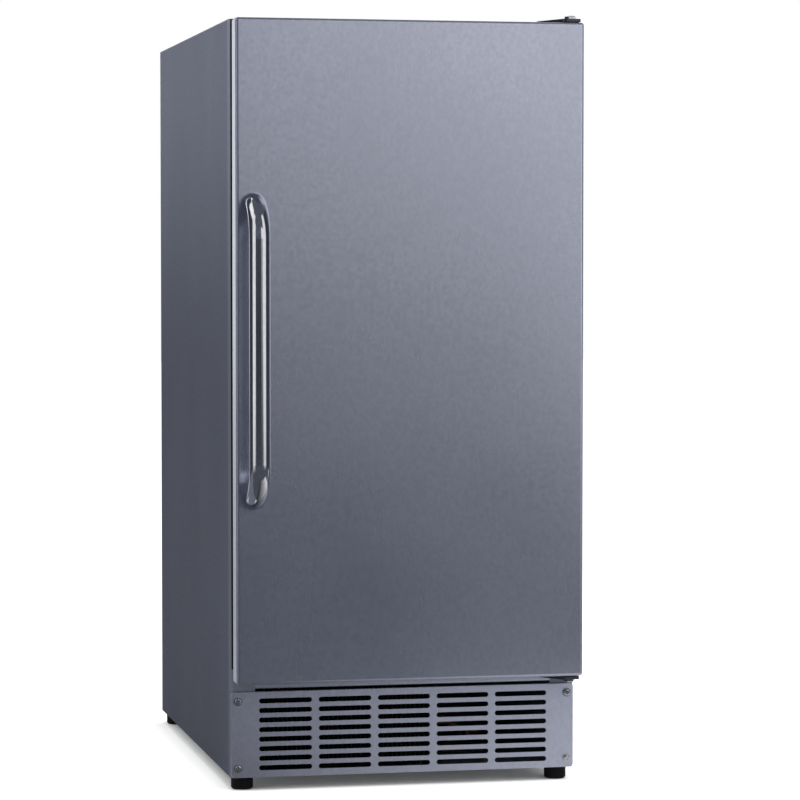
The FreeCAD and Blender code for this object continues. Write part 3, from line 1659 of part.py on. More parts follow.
def fill_cup():
    """The rear bearing of the ice maker with the cup that the water runs into."""
    low = (maker_x - cap_half, mould_back, maker_z - cap_below)
    cap = box(low, (arm_x + arm_dia * 2, cap_back, maker_z + cap_below / 2))
    cup_low = maker_z + cap_below / 2
    cup_high, cup_back = cup_low + cup_height, cap_back + cup_depth
    reach = cup_half
    outer = box((maker_x - reach, mould_back, cup_low), (maker_x + reach, cup_back, cup_high))
    inner_low = (maker_x - reach + cup_wall, mould_back + cup_wall, cup_low + cup_wall)
    inner = box(inner_low, (maker_x + reach - cup_wall, cup_back - cup_wall, cup_high))
    spout_reach = reach / 2
    spout = box((maker_x - spout_reach, mould_back, cup_low + cup_wall),
                (maker_x + spout_reach, mould_back + cup_wall, cup_low + cup_height / 2))
    shaft_end = mould_back + ejector_end + turn_gap
    shaft = rod(ejector_dia + turn_gap * 2, mould_back, shaft_end, "Y", (maker_x, maker_z))
    arm_hole_end = mould_back + arm_end + turn_gap
    arm = rod(arm_dia + turn_gap * 2, mould_back, arm_hole_end, "Y", (arm_x, arm_z))
    node(cut(join(cap, outer), inner, spout, shaft, arm), "fill_cup")


def power_rocker():
    """The rocker switch on the ice maker, tipped to its on side."""
    tall, out = rocker_height / 2, rocker_sink + rocker_dish
    points = (
        (-out, tall),
        (-rocker_sink, 0),
        (-out, -tall),
        (rocker_dish, -tall),
        (rocker_depth / 2, 0),
        (rocker_dish, tall),
    )
    body = extruded("YZ", points, rocker_width, midplane=True)
    pin = sketch_on(body, "YZ")
    circle(pin, (0, 0), rocker_pin_dia)
    pad(body, pin, rocker_width + rocker_pin_length * 2, midplane=True)
    place(body, (rocker_x, rocker_y, rocker_z), Rotation(Vector(1, 0, 0), rocker_tilt.number))
    node(body, "power_rocker")


# Storage box fittings

def thermostat_box():
    """The control housing under the ceiling of the storage box."""
    low = (control_left, control_front, control_low)
    case = box(low, (control_right, control_front + control_depth, cav_high))
    case = rounded(case, control_round, lambda edge: not lies(edge, "Z", cav_high))
    bore_end = control_front + knob_shaft_length + turn_gap
    bore = rod(knob_shaft_dia + turn_gap * 2, control_front, bore_end, "Y", knob_spot())
    node(cut(case, bore), "thermostat_box")


def knob_spot():
    """The thermostat knob's axis, across and up."""
    return ((control_left + control_right) / 2, control_low + control_height / 2)


def thermostat_knob():
    """The knob on the control housing, with a ridge to grip."""
    across, up = knob_spot()
    radius = knob_dia / 2
    face = control_front - knob_length
    back = control_front - knob_gap
    points = (
        (0, -knob_length + knob_grip),
        (radius - knob_skirt, -knob_length + knob_grip),
        (radius, -knob_skirt),
        (radius, -knob_gap),
        (knob_shaft_dia / 2, -knob_gap),
        (knob_shaft_dia / 2, knob_shaft_length),
        (0, knob_shaft_length),
    )
    body = turned(points)
    place(body, (across, control_front, up), TURNS["Y"])
    reach = radius - knob_skirt
    ridge_low = (across - knob_grip / 2, face, up - reach)
    ridge = box(ridge_low, (across + knob_grip / 2, back, up + reach))
    ridge = rounded(ridge, knob_grip / 3, lambda edge: lies(edge, "Y", face))
    node(join(body, ridge), "thermostat_knob")


def lamp_lens():
    """The lens of the light in the control housing."""
    low = (control_left + lens_margin, control_front + lens_margin, control_low - lens_drop)
    high = (control_right - lens_margin, control_front + control_depth - lens_margin, control_low)
    lens = rounded(box(low, high), lens_round, lambda edge: not lies(edge, "Z", control_low))
    node(lens, "lamp_lens")


def bin_block(inset, low, high, radius):
    """A block of the bin's plan, shrunk by an inset, with round upright corners."""
    near, far = bin_front + inset, bin_back - inset
    block = box((-bin_half + inset, near, low), (bin_half - inset, far, high))
    block = rounded(block, radius, lambda edge: runs(edge, "Z"))
    return block


def ice_bin():
    """The lift-out bin that the ice falls into."""
    body = bin_block(as_size(0), bin_low, bin_top, bin_round)
    body = rounded(body, bin_round / 2, lambda edge: lies(edge, "Z", bin_low))
    rim = bin_block(-bin_rim, bin_top - bin_rim_height, bin_top, bin_round + bin_rim)
    hollow = bin_block(bin_wall, bin_low + bin_wall, bin_top, bin_round - bin_wall)
    floor = bin_low + bin_wall
    hollow = rounded(hollow, bin_round / 2 - bin_wall, lambda edge: lies(edge, "Z", floor))
    grip_high = bin_top - grip_drop
    grip_low = (-grip_width / 2, bin_front - bin_rim, grip_high - grip_height)
    grip = box(grip_low, (grip_width / 2, bin_front + bin_wall, grip_high))
    grip = rounded(grip, grip_height * GRIP_SHARE, lambda edge: runs(edge, "Y"))
    node(cut(join(body, rim), hollow, grip), "ice_bin")


def ice_scoop():
    """The scoop, hung by its grip on the peg."""
    right = scoop_x + scoop_grip_dia / 2
    left = right - scoop_depth
    high = peg_z + scoop_hole_inset - scoop_grip_length
    low = high - scoop_length
    wide = scoop_width / 2
    tray = box((left, peg_y - wide, low), (right, peg_y + wide, high))

    def back_corner(edge):
        return lies(edge, "X", right) and (runs(edge, "Z") or lies(edge, "Z", high))

    tray = rounded(tray, scoop_round, back_corner)
    inner_right, inner_wide = right - scoop_wall, wide - scoop_wall
    hollow = box((left, peg_y - inner_wide, low), (inner_right, peg_y + inner_wide, high - scoop_wall))

    def inner_corner(edge):
        return lies(edge, "X", inner_right) and (runs(edge, "Z") or lies(edge, "Z", high - scoop_wall))

    hollow = rounded(hollow, scoop_round - scoop_wall, inner_corner)
    slope = ((left, low), (right - scoop_round, low), (left, low + scoop_slope))
    wedge = extruded("XZ", slope, scoop_width, -(peg_y + wide))
    grip_top = peg_z + scoop_hole_inset
    grip = rod(scoop_grip_dia, high - scoop_wall, grip_top, "Z", (scoop_x, peg_y))
    grip = rounded(grip, scoop_grip_dia / 4, lambda edge: lies(edge, "Z", grip_top))
    hole_dia = peg_dia + fit_gap * 2
    hole = rod(hole_dia, scoop_x - scoop_grip_dia, scoop_x + scoop_grip_dia, "X", (peg_y, peg_z))
    node(join(cut(tray, hollow, wedge), cut(grip, hole)), "ice_scoop")


def scoop_peg():
    """The peg on the right wall that the scoop hangs on."""
    reach = peg_plate / 2
    seat = cav_half - peg_plate_thick
    plate = box((seat, peg_y - reach, peg_z - reach), (cav_half, peg_y + reach, peg_z + reach))
    plate = rounded(plate, peg_plate / 4, lambda edge: runs(edge, "X"))
    tip = scoop_x - scoop_grip_dia / 2 - scoop_wall
    pin = rod(peg_dia, tip, seat, "X", (peg_y, peg_z))
    node(join(plate, pin), "scoop_peg")


# Build

def build():
    """Make every sub-part."""
    side_panel("left_side_panel", -1)
    side_panel("right_side_panel", 1)
    top_panel()
    back_panel()
    machine_deck()
    cabinet_foam()
    inner_liner()
    lower_front_rail()
    grille_panel()
    grille_screws()
    base_pan()
    foot_nuts()
    for name, spot in foot_spots():
        foot(name, spot)
    rear_cover()
    panel_screws()
    door_skin()
    door_foam()
    door_liner()
    door_gasket()
    door_handle()
    handle_screws()
    hinge_bushes()
    top_hinge_bracket()
    top_hinge_pin()
    top_hinge_screws()
    bottom_hinge_bracket()
    bottom_hinge_pin()
    bottom_hinge_screws()
    compressor()
    compressor_grommets()
    relay_cover()
    condenser()
    fan_shroud()
    fan_blade()
    fan_motor()
    filter_drier()
    refrigerant_pipes()
    evaporator_plate()
    evaporator_tube()
    water_valve()
    water_tube()
    cord_gland()
    ice_mould()
    ice_maker_head()
    ejector()
    stripper_comb()
    shutoff_arm()
    fill_cup()
    power_rocker()
    thermostat_box()
    thermostat_knob()
    lamp_lens()
    ice_bin()
    ice_scoop()
    scoop_peg()
    doc.recompute()


def check_states():
    """Stop if any object of the document failed."""
    for item in doc.Objects:
        wrong = [word for word in item.State if word in ("Invalid", "Error")]
        if wrong:
            raise RuntimeError(f"{item.Label} ({item.Name}) is {wrong}")


def write_parts():
    """Write each sub-part to its own file."""
    os.makedirs("parts", exist_ok=True)
    for item in nodes:
        shape = item.Shape
        if shape.isNull() or not shape.isValid() or not shape.Solids:
            raise RuntimeError(f"{item.Label} has no sound solid")
        shape.exportStep(f"parts/{item.Label}.step")
        bounds = shape.BoundBox
        print(f"{item.Label}: {len(shape.Solids)} solids, {shape.Volume / 1000:.1f} cm3, "
              f"{bounds.XLength:.1f} x {bounds.YLength:.1f} x {bounds.ZLength:.1f}")


build()
check_states()
write_parts()
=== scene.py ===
import json
import math

import bpy
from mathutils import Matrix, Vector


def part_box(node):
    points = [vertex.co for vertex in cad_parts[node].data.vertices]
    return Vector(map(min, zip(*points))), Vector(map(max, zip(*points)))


# Undercounter ice machine: materials, studio and camera. Metres, in the frame of the solids.

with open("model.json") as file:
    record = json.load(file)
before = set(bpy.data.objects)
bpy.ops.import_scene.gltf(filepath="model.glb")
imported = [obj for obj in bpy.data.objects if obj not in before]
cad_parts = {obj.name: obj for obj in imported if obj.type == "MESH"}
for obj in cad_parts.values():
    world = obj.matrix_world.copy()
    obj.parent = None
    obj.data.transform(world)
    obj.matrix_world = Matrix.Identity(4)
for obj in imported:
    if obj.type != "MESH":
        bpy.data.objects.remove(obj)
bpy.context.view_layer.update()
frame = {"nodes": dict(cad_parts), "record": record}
parts = frame["nodes"]
slot_of = {row["node"]: row["material_slot"] for row in frame["record"]["subparts"]}
CASE_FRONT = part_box("left_side_panel")[0][1]
PAINTED_FOLD_HIGHLIGHT_START = CASE_FRONT + 0.012  # where the painted highlight along the front fold of the case begins to fade
PAINTED_FOLD_HIGHLIGHT_END = CASE_FRONT + 0.016  # where it has faded


# Ways to build a material

MIX_FIRST = 6  # the colour sockets of a mix node, which share their names with others
MIX_SECOND = 7
MIX_RESULT = 2


def shader_of(material):
    """The main shader of a material."""
    return material.node_tree.nodes["Principled BSDF"]


class Look:
    """A material under construction: its shader and short ways to add nodes."""

    def __init__(self, name):
        self.material = bpy.data.materials.new(name)
        self.material.use_nodes = True
        self.tree = self.material.node_tree
        self.shader = shader_of(self.material)

    def add(self, kind, **settings):
        """Add a node and set its properties."""
        node = self.tree.nodes.new(kind)
        for name, value in settings.items():
            setattr(node, name, value)
        return node

    def link(self, start, end):
        """Join an output to an input."""
        self.tree.links.new(start, end)

    def set(self, **values):
        """Set sockets of the shader by name, with _ for a space."""
        for name, value in values.items():
            self.shader.inputs[name.replace("_", " ")].default_value = value

    def places(self, stretch=(1, 1, 1)):
        """Object coordinates in metres, stretched along each axis."""
        coordinates = self.add("ShaderNodeTexCoord")
        mapping = self.add("ShaderNodeMapping")
        mapping.inputs["Scale"].default_value = stretch
        self.link(coordinates.outputs["Object"], mapping.inputs["Vector"])
        return mapping.outputs["Vector"]

    def along(self, axis):
        """One of the object coordinates, by its letter."""
        apart = self.add("ShaderNodeSeparateXYZ")
        self.link(self.places(), apart.inputs["Vector"])
        return apart.outputs[axis]

    def noise(self, waves, stretch=(1, 1, 1), detail=3.0):
        """Noise between 0 and 1, with so many waves per metre."""
        texture = self.add("ShaderNodeTexNoise")
        texture.inputs["Scale"].default_value = waves
        texture.inputs["Detail"].default_value = detail
        self.link(self.places(stretch), texture.inputs["Vector"])
        return texture.outputs["Fac"]

    def spread(self, value, low, high, start=0.3, end=0.7):
        """Map a value from start..end to low..high."""
        ranged = self.add("ShaderNodeMapRange")
        for name, number in (("From Min", start), ("From Max", end), ("To Min", low), ("To Max", high)):
            ranged.inputs[name].default_value = number
        self.link(value, ranged.inputs["Value"])
        return ranged.outputs["Result"]

    def math(self, operation, first, second):
        """Combine two values."""
        node = self.add("ShaderNodeMath", operation=operation)
        for socket, value in zip(node.inputs, (first, second)):
            if isinstance(value, (int, float)):
                socket.default_value = value
            else:
                self.link(value, socket)
        return node.outputs["Value"]

    def edges(self, radius):
        """1 on sharp edges, 0 on flat places."""
        bevel = self.add("ShaderNodeBevel", samples=4)
        bevel.inputs["Radius"].default_value = radius
        geometry = self.add("ShaderNodeNewGeometry")
        closeness = self.add("ShaderNodeVectorMath", operation="DOT_PRODUCT")
        self.link(bevel.outputs["Normal"], closeness.inputs[0])
        self.link(geometry.outputs["Normal"], closeness.inputs[1])
        return self.spread(closeness.outputs["Value"], 1.0, 0.0, start=0.75, end=0.98)

    def corners(self):
        """1 where a squared shape turns a corner, 0 on its flat sides."""
        coordinates = self.add("ShaderNodeTexCoord")
        squares = self.add("ShaderNodeVectorMath", operation="MULTIPLY")
        flatness = self.add("ShaderNodeVectorMath", operation="DOT_PRODUCT")
        for place in (0, 1):
            self.link(coordinates.outputs["Normal"], squares.inputs[place])
            self.link(squares.outputs["Vector"], flatness.inputs[place])
        return self.spread(flatness.outputs["Value"], 1.0, 0.0, start=0.55, end=0.95)

    def colour(self, factor, first, second):
        """Blend two colours; either may be an output."""
        mix = self.add("ShaderNodeMix", data_type="RGBA")
        self.link(factor, mix.inputs["Factor"])
        for socket, value in ((mix.inputs[MIX_FIRST], first), (mix.inputs[MIX_SECOND], second)):
            if isinstance(value, tuple):
                socket.default_value = (*value, 1.0)
            else:
                self.link(value, socket)
        return mix.outputs[MIX_RESULT]

    def paint(self, colour):
        """Feed the base colour."""
        self.link(colour, self.shader.inputs["Base Color"])

    def wear_edges(self, toned, radius, share, worn):
        """Feed the base colour, and turn sharp edges by a share to a worn colour."""
        self.paint(self.colour(self.math("MULTIPLY", self.edges(radius), share), toned, worn))

    def roughen(self, value):
        """Feed the roughness."""
        self.link(value, self.shader.inputs["Roughness"])

    def emboss(self, height, strength, distance):
        """Feed the normal from a height."""
        bump = self.add("ShaderNodeBump")
        bump.inputs["Strength"].default_value = strength
        bump.inputs["Distance"].default_value = distance
        self.link(height, bump.inputs["Height"])
        self.link(bump.outputs["Normal"], self.shader.inputs["Normal"])


def shade(colour, times):
    """A lighter or darker tone of a colour."""
    return tuple(min(1.0, channel * times) for channel in colour)


def brushed_metal(name, colour, roughness, stretch, wear=1.15, fold=0.0):
    """Brushed metal: a fine grain, a cloudy sheen and lighter edges; its folds are rougher by an amount."""
    look = Look(name)
    grain = look.noise(waves=700, stretch=stretch, detail=4.0)
    mottle = look.noise(waves=280, stretch=(1, 1, 0.8), detail=1.0)
    cloud = look.noise(waves=5, detail=2.0)
    brushing = look.spread(grain, 0.0, 1.0, start=0.25, end=0.75)
    fine = look.colour(brushing, shade(colour, 0.98), shade(colour, 1.02))
    speckle = look.colour(look.spread(mottle, 0.0, 1.0), shade(colour, 0.93), shade(colour, 1.07))
    spotted = look.colour(look.spread(cloud, 0.75, 0.85), fine, speckle)
    toned = look.colour(look.spread(cloud, 0.0, 0.35), spotted, shade(colour, 0.96))
    look.wear_edges(toned, radius=0.0012, share=0.5, worn=shade(colour, wear))
    ground = look.spread(cloud, roughness - 0.02, roughness + 0.02)
    grained = look.math("ADD", ground, look.spread(grain, -0.002, 0.002))
    look.roughen(look.math("ADD", grained, look.math("MULTIPLY", look.corners(), fold)))
    look.emboss(grain, strength=0.006, distance=0.0001)
    look.set(Metallic=1.0)
    return look.material


def painted_sheet(name, colour, roughness, fold=0.0):
    """Powder paint on sheet steel: a faint orange peel, dust, worn edges and a painted highlight along the
    front fold, lighter by the share given as fold.
    """
    look = Look(name)
    peel = look.noise(waves=900, detail=2.0)
    grit = look.noise(waves=230, detail=1.0)
    cloud = look.noise(waves=7, stretch=(1, 1, 0.5))
    dust = look.math("ADD", look.math("MULTIPLY", cloud, 0.4), look.math("MULTIPLY", grit, 0.6))
    # Painted highlight: a lighter band along the front fold, standing in for the light that the rounded
    # fold catches.
    painted_fold_highlight = look.spread(look.along("Y"), fold, 0.0, start=PAINTED_FOLD_HIGHLIGHT_START, end=PAINTED_FOLD_HIGHLIGHT_END)
    toned = look.colour(look.spread(dust, 0.0, 1.0), shade(colour, 0.9), shade(colour, 1.1))
    toned_with_fold_highlight = look.colour(painted_fold_highlight, toned, shade(colour, 1.5))
    look.wear_edges(toned_with_fold_highlight, radius=0.001, share=0.35, worn=shade(colour, 1.8))
    look.roughen(look.spread(cloud, roughness - 0.04, roughness + 0.05))
    look.emboss(peel, strength=0.06, distance=0.0003)
    return look.material


def moulded_plastic(name, colour, roughness, grain=700, depth=0.06):
    """Injection moulded plastic with a fine texture and slightly lighter edges."""
    look = Look(name)
    texture = look.noise(waves=grain)
    cloud = look.noise(waves=12, detail=2.0)
    toned = look.colour(look.spread(cloud, 0.0, 1.0), shade(colour, 0.95), shade(colour, 1.04))
    look.wear_edges(toned, radius=0.0008, share=0.4, worn=shade(colour, 1.3))
    look.roughen(look.spread(texture, roughness - 0.05, roughness + 0.06))
    look.emboss(texture, strength=depth, distance=0.0004)
    return look.material


def cast_metal(name, colour, roughness, grain):
    """Bare cast metal with a grainy skin."""
    look = Look(name)
    skin = look.noise(waves=grain, detail=5.0)
    cloud = look.noise(waves=25)
    toned = look.colour(look.spread(cloud, 0.0, 1.0), shade(colour, 0.85), shade(colour, 1.08))
    look.wear_edges(toned, radius=0.0008, share=0.5, worn=shade(colour, 1.25))
    look.roughen(look.spread(skin, roughness - 0.08, roughness + 0.1))
    look.emboss(skin, strength=0.15, distance=0.0004)
    look.set(Metallic=1.0)
    return look.material


def dulled(material, gloss):
    """Turn down the gloss of a paint or a plastic."""
    shader_of(material).inputs["Specular IOR Level"].default_value = gloss
    return material


# Materials, one for each slot of the record

def stainless_front():
    """Door: stainless steel with an upright grain."""
    steel = (0.55, 0.575, 0.69)
    return brushed_metal("stainless_front", steel, roughness=0.27, stretch=(4, 4, 0.02), fold=0.35)


def kick_plate_steel():
    """Kick plate and rail: the same kind of steel in a duller finish, with a level grain."""
    return brushed_metal("kick_plate_steel", (0.6, 0.63, 0.76), roughness=0.45, stretch=(0.02, 4, 4))


def stainless_case():
    """Sides and top: steel sheet in a smooth slate finish, with a painted highlight along the front fold.
    """
    # fold=0.7 paints a lighter band along the front fold: a painted highlight, not a colour of the sheet.
    sheet = painted_sheet("stainless_case", (0.115, 0.124, 0.157), roughness=0.5, fold=0.7)
    return dulled(sheet, gloss=0.0)


def galvanised_sheet():
    """Back, deck, pan, rear cover and fan shroud: zinc-plated sheet with its spangle."""
    look = Look("galvanised_sheet")
    spangle = look.add("ShaderNodeTexVoronoi")
    spangle.inputs["Scale"].default_value = 70
    look.link(look.places(), spangle.inputs["Vector"])
    streak = look.noise(waves=60, stretch=(1, 1, 0.1))
    flakes = look.colour(spangle.outputs["Distance"], (0.44, 0.46, 0.48), (0.56, 0.58, 0.6))
    look.paint(look.colour(look.spread(streak, 0.0, 0.4), flakes, (0.36, 0.37, 0.39)))
    look.roughen(look.spread(spangle.outputs["Distance"], 0.38, 0.55, start=0.0, end=1.0))
    look.emboss(streak, strength=0.05, distance=0.0003)
    look.set(Metallic=0.85)
    return look.material


def satin_handle():
    """The handle: polished stainless tube, finely brushed along its length."""
    steel = (0.66, 0.67, 0.71)
    return brushed_metal("satin_handle", steel, roughness=0.12, stretch=(6, 6, 0.05), wear=1.05)


def hinge_steel():
    """Hinge plates: steel in a dark colour, which paints in the shade they sit in above and below the door.
    """
    # The dark colour is painted shade for the shadowed plates.
    return brushed_metal("hinge_steel", (0.09, 0.095, 0.11), roughness=0.36, stretch=(1, 0.06, 1))


def screw_steel():
    """Screws, nuts and hinge pins: bright plated steel."""
    return brushed_metal("screw_steel", (0.56, 0.57, 0.61), roughness=0.09, stretch=(1, 1, 1), wear=1.05)


def foot_plastic():
    """Feet: black nylon."""
    nylon = moulded_plastic("foot_plastic", (0.006, 0.006, 0.008), roughness=0.6)
    return dulled(nylon, gloss=0.1)


def black_plastic():
    """Fan, relay cover, gland and bushes: black plastic."""
    return moulded_plastic("black_plastic", (0.014, 0.014, 0.015), roughness=0.45)


def black_rubber():
    """Compressor grommets: dull rubber."""
    return moulded_plastic("black_rubber", (0.016, 0.016, 0.016), roughness=0.8, grain=1200, depth=0.15)


def gasket_rubber():
    """Door seal: dark soft rubber."""
    rubber = moulded_plastic("gasket_rubber", (0.009, 0.009, 0.011), roughness=0.8, grain=1000, depth=0.1)
    return dulled(rubber, gloss=0.0)


def white_liner():
    """Storage box, door lining and thermostat box: white moulded sheet."""
    return moulded_plastic("white_liner", (0.74, 0.76, 0.78), roughness=0.3, grain=350, depth=0.04)


def bin_plastic():
    """Ice bin: milky pale blue plastic that lets a little light through."""
    material = moulded_plastic("bin_plastic", (0.66, 0.74, 0.82), roughness=0.32, grain=1200, depth=0.015)
    shader = shader_of(material)
    shader.inputs["Transmission Weight"].default_value = 0.25
    return material


def scoop_plastic():
    """Scoop: blue plastic."""
    return moulded_plastic("scoop_plastic", (0.05, 0.17, 0.42), roughness=0.32, grain=600, depth=0.04)


def white_plastic():
    """Peg, knob, comb and fill cup: white plastic."""
    return moulded_plastic("white_plastic", (0.7, 0.72, 0.72), roughness=0.4)


def insulation_foam():
    """Foam: pale yellow and porous."""
    look = Look("insulation_foam")
    pores = look.noise(waves=450, detail=6.0)
    look.paint(look.colour(look.spread(pores, 0.0, 1.0), (0.62, 0.5, 0.25), (0.8, 0.68, 0.4)))
    look.emboss(pores, strength=0.5, distance=0.001)
    look.set(Roughness=0.9)
    return look.material


def compressor_paint():
    """Compressor, fan motor and condenser: black enamel."""
    enamel = painted_sheet("compressor_paint", (0.008, 0.008, 0.009), roughness=0.4)
    return dulled(enamel, gloss=0.2)


def bare_aluminium():
    """Cold plate and its tube: plain aluminium."""
    return brushed_metal("bare_aluminium", (0.66, 0.67, 0.69), roughness=0.34, stretch=(1, 1, 0.05))


def cast_aluminium():
    """Ice mould: die cast aluminium."""
    return cast_metal("cast_aluminium", (0.46, 0.47, 0.49), roughness=0.42, grain=900)


def copper_pipe():
    """Refrigerant pipes and filter drier: copper, dulled in patches, and darker than bright copper as a
    painted shade for the dark room behind the grille.
    """
    look = Look("copper_pipe")
    patches = look.noise(waves=45, detail=4.0)
    # The copper tones are kept dark: painted shade, so the pipes sink into the shade behind the grille
    # slots.
    look.paint(look.colour(look.spread(patches, 0.0, 1.0), (0.2, 0.085, 0.045), (0.28, 0.135, 0.075)))
    look.roughen(look.spread(patches, 0.45, 0.25))
    look.emboss(look.noise(waves=800), strength=0.05, distance=0.0003)
    look.set(Metallic=1.0)
    return look.material


def grey_plastic():
    """Ice maker head and ejector: light grey plastic."""
    return moulded_plastic("grey_plastic", (0.5, 0.52, 0.53), roughness=0.42)


def rocker_plastic():
    """Rocker switch: glossy black."""
    return moulded_plastic("rocker_plastic", (0.015, 0.015, 0.017), roughness=0.22)


def arm_wire():
    """Shut-off arm: bright steel wire."""
    return brushed_metal("arm_wire", (0.66, 0.67, 0.69), roughness=0.2, stretch=(1, 0.1, 1), wear=1.1)


def lens_clear():
    """Lamp lens: frosted clear plastic."""
    material = moulded_plastic("lens_clear", (0.9, 0.92, 0.93), roughness=0.35, grain=500, depth=0.1)
    shader = shader_of(material)
    shader.inputs["Transmission Weight"].default_value = 0.6
    shader.inputs["IOR"].default_value = 1.49
    return material


def water_pipe():
    """Water pipe: milky plastic tube."""
    return moulded_plastic("water_pipe", (0.72, 0.76, 0.78), roughness=0.3)


def valve_plastic():
    """Water valve: pale glass-filled plastic."""
    return moulded_plastic("valve_plastic", (0.6, 0.61, 0.58), roughness=0.5, grain=500, depth=0.12)


MATERIALS = (
    stainless_front, kick_plate_steel, stainless_case, galvanised_sheet, satin_handle, hinge_steel,
    screw_steel, foot_plastic, black_plastic, black_rubber, gasket_rubber, white_liner, bin_plastic,
    scoop_plastic, white_plastic, insulation_foam, compressor_paint, bare_aluminium, cast_aluminium,
    copper_pipe, grey_plastic, rocker_plastic, arm_wire, lens_clear, water_pipe, valve_plastic,
)


def dress_parts():
    """Give each solid the material of its slot."""
    looks = {make.__name__: make() for make in MATERIALS}
    for name, piece in parts.items():
        for slot in piece.material_slots:
            slot.material = looks[slot_of[name]]


# Studio

BACKGROUND_LIGHT = 0.62  # what the white surroundings give to dull surfaces
FLOOR_SIZE = 30
FLOOR_DROP = 0.0004  # how far the floor lies below the feet
FLOOR_GLOW = 0.8  # what makes the lit floor look white
FLOOR_GLOSS_GLOW = 0.25  # the lower glow that gloss sees
SHADOW_REACH = 0.045  # how near the machine the floor loses that glow, a painted contact shadow
WHITE = (1, 1, 1, 1)
COOL = (0.86, 0.94, 1.16, 1)  # the tint of the dark studio cards
FLAT = (0, 0, 0)  # the turn of a sheet that faces up
HALF_SHEET = 0.5  # from the middle of a sheet to its edge, before it is scaled
WALL_DISTANCE = 5.2
WALL_LOW = 0.15
WALL_BREAK = 1.4  # the height at which the wall stops getting brighter
WALL_HIGH = 4.0
STRIP_BREAK = 0.34  # the height at which the bright strips reach their full glow
STRIP_FOOT_GLOW = 0.2


def seen_rays(tree):
    """1 for the eye, for gloss and through clear plastic, 0 for light on dull surfaces."""
    path = tree.nodes.new("ShaderNodeLightPath")
    seen = path.outputs["Is Camera Ray"]
    for kind in ("Is Glossy Ray", "Is Transmission Ray"):
        either = tree.nodes.new("ShaderNodeMath")
        either.operation = "MAXIMUM"
        tree.links.new(seen, either.inputs[0])
        tree.links.new(path.outputs[kind], either.inputs[1])
        seen = either.outputs["Value"]
    return seen


def surroundings():
    """White surroundings for the eye and for gloss, softer as a light on dull surfaces."""
    world = bpy.data.worlds.new("surroundings")
    bpy.context.scene.world = world
    world.use_nodes = True
    tree = world.node_tree
    level = tree.nodes.new("ShaderNodeMapRange")
    level.inputs["To Min"].default_value = BACKGROUND_LIGHT
    level.inputs["To Max"].default_value = 1.0
    tree.links.new(seen_rays(tree), level.inputs["Value"])
    background = tree.nodes["Background"]
    background.inputs["Color"].default_value = WHITE
    tree.links.new(level.outputs["Result"], background.inputs["Strength"])


def plane(name, centre, width, height, turn):
    """A flat sheet, facing up before it is turned."""
    bpy.ops.mesh.primitive_plane_add(size=1, location=centre, rotation=turn)
    sheet = bpy.context.object
    sheet.name = name
    sheet.scale = (width, height, 1)
    return sheet


def floor():
    """A pale floor that looks white; it keeps the shadow that the lamps cast, and its glow fades near the
    machine as a painted contact shadow.
    """
    sheet = plane("floor", (0, 0, -FLOOR_DROP), FLOOR_SIZE, FLOOR_SIZE, FLAT)
    look = Look("floor_white")
    look.set(Base_Color=(0.86, 0.86, 0.86, 1), Roughness=0.9, Specular_IOR_Level=0.0, Emission_Color=WHITE)
    # Painted contact shadow: the glow fades where occlusion is near, under and beside the machine, on top
    # of the real shadow of the lamps.
    contact_occlusion = look.add("ShaderNodeAmbientOcclusion", samples=16)
    contact_occlusion.inputs["Distance"].default_value = SHADOW_REACH
    outside_painted_shadow = look.spread(contact_occlusion.outputs["AO"], 0.0, 1.0, start=0.05, end=0.95)
    path = look.add("ShaderNodeLightPath")
    level = look.spread(path.outputs["Is Camera Ray"], FLOOR_GLOSS_GLOW, FLOOR_GLOW, start=0.0, end=1.0)
    glow = look.math("MULTIPLY", seen_rays(look.tree), look.math("MULTIPLY", level, outside_painted_shadow))
    look.link(glow, look.shader.inputs["Emission Strength"])
    sheet.data.materials.append(look.material)


def grade(sheet, glow_low, glow_high, tint=WHITE):
    """Make a sheet glow from its near to its far edge, for gloss alone."""
    look = Look(sheet.name)
    look.set(Base_Color=(0, 0, 0, 1), Specular_IOR_Level=0.0, Emission_Color=tint)
    glow = look.spread(look.along("Y"), glow_low, glow_high, start=-HALF_SHEET, end=HALF_SHEET)
    look.link(glow, look.shader.inputs["Emission Strength"])
    sheet.data.materials.append(look.material)
    sheet.visible_camera = False
    sheet.visible_diffuse = False
    sheet.visible_transmission = False
    sheet.visible_shadow = False


def level_card(name, left, right, front, back, height, glow_front, glow_back, tint=WHITE):
    """A level studio card between four bounds, graded from its front to its back."""
    centre = ((left + right) / 2, (front + back) / 2, height)
    grade(plane(name, centre, right - left, back - front, FLAT), glow_front, glow_back, tint)


def card(name, start, end, distance, low, high, glow_low, glow_high, tint=WHITE):
    """An upright studio card, graded from its foot to its head.

    Start and end are bearings in degrees round the machine, from the front and growing to its right.
    """
    angle = math.radians((start + end) / 2)
    width = 2 * distance * math.tan(math.radians((end - start) / 2))
    centre = (distance * math.sin(angle), -distance * math.cos(angle), (low + high) / 2)
    sheet = plane(name, centre, width, high - low, (math.pi / 2, 0, angle))
    grade(sheet, glow_low, glow_high, tint)


def wall(name, start, end, foot_glow, break_glow, head_glow, tint=WHITE):
    """A far wall in two cards, one on the other."""
    card(name, start, end, WALL_DISTANCE, WALL_LOW, WALL_BREAK, foot_glow, break_glow, tint)
    card(name + "_top", start, end, WALL_DISTANCE, WALL_BREAK, WALL_HIGH, break_glow, head_glow, tint)


def strip(name, start, end, distance, high):
    """A bright strip with a foot that fades to the floor."""
    card(name + "_foot", start, end, distance, 0.0, STRIP_BREAK, STRIP_FOOT_GLOW, 1.0)
    card(name, start, end, distance, STRIP_BREAK, high, 1.0, 1.0)


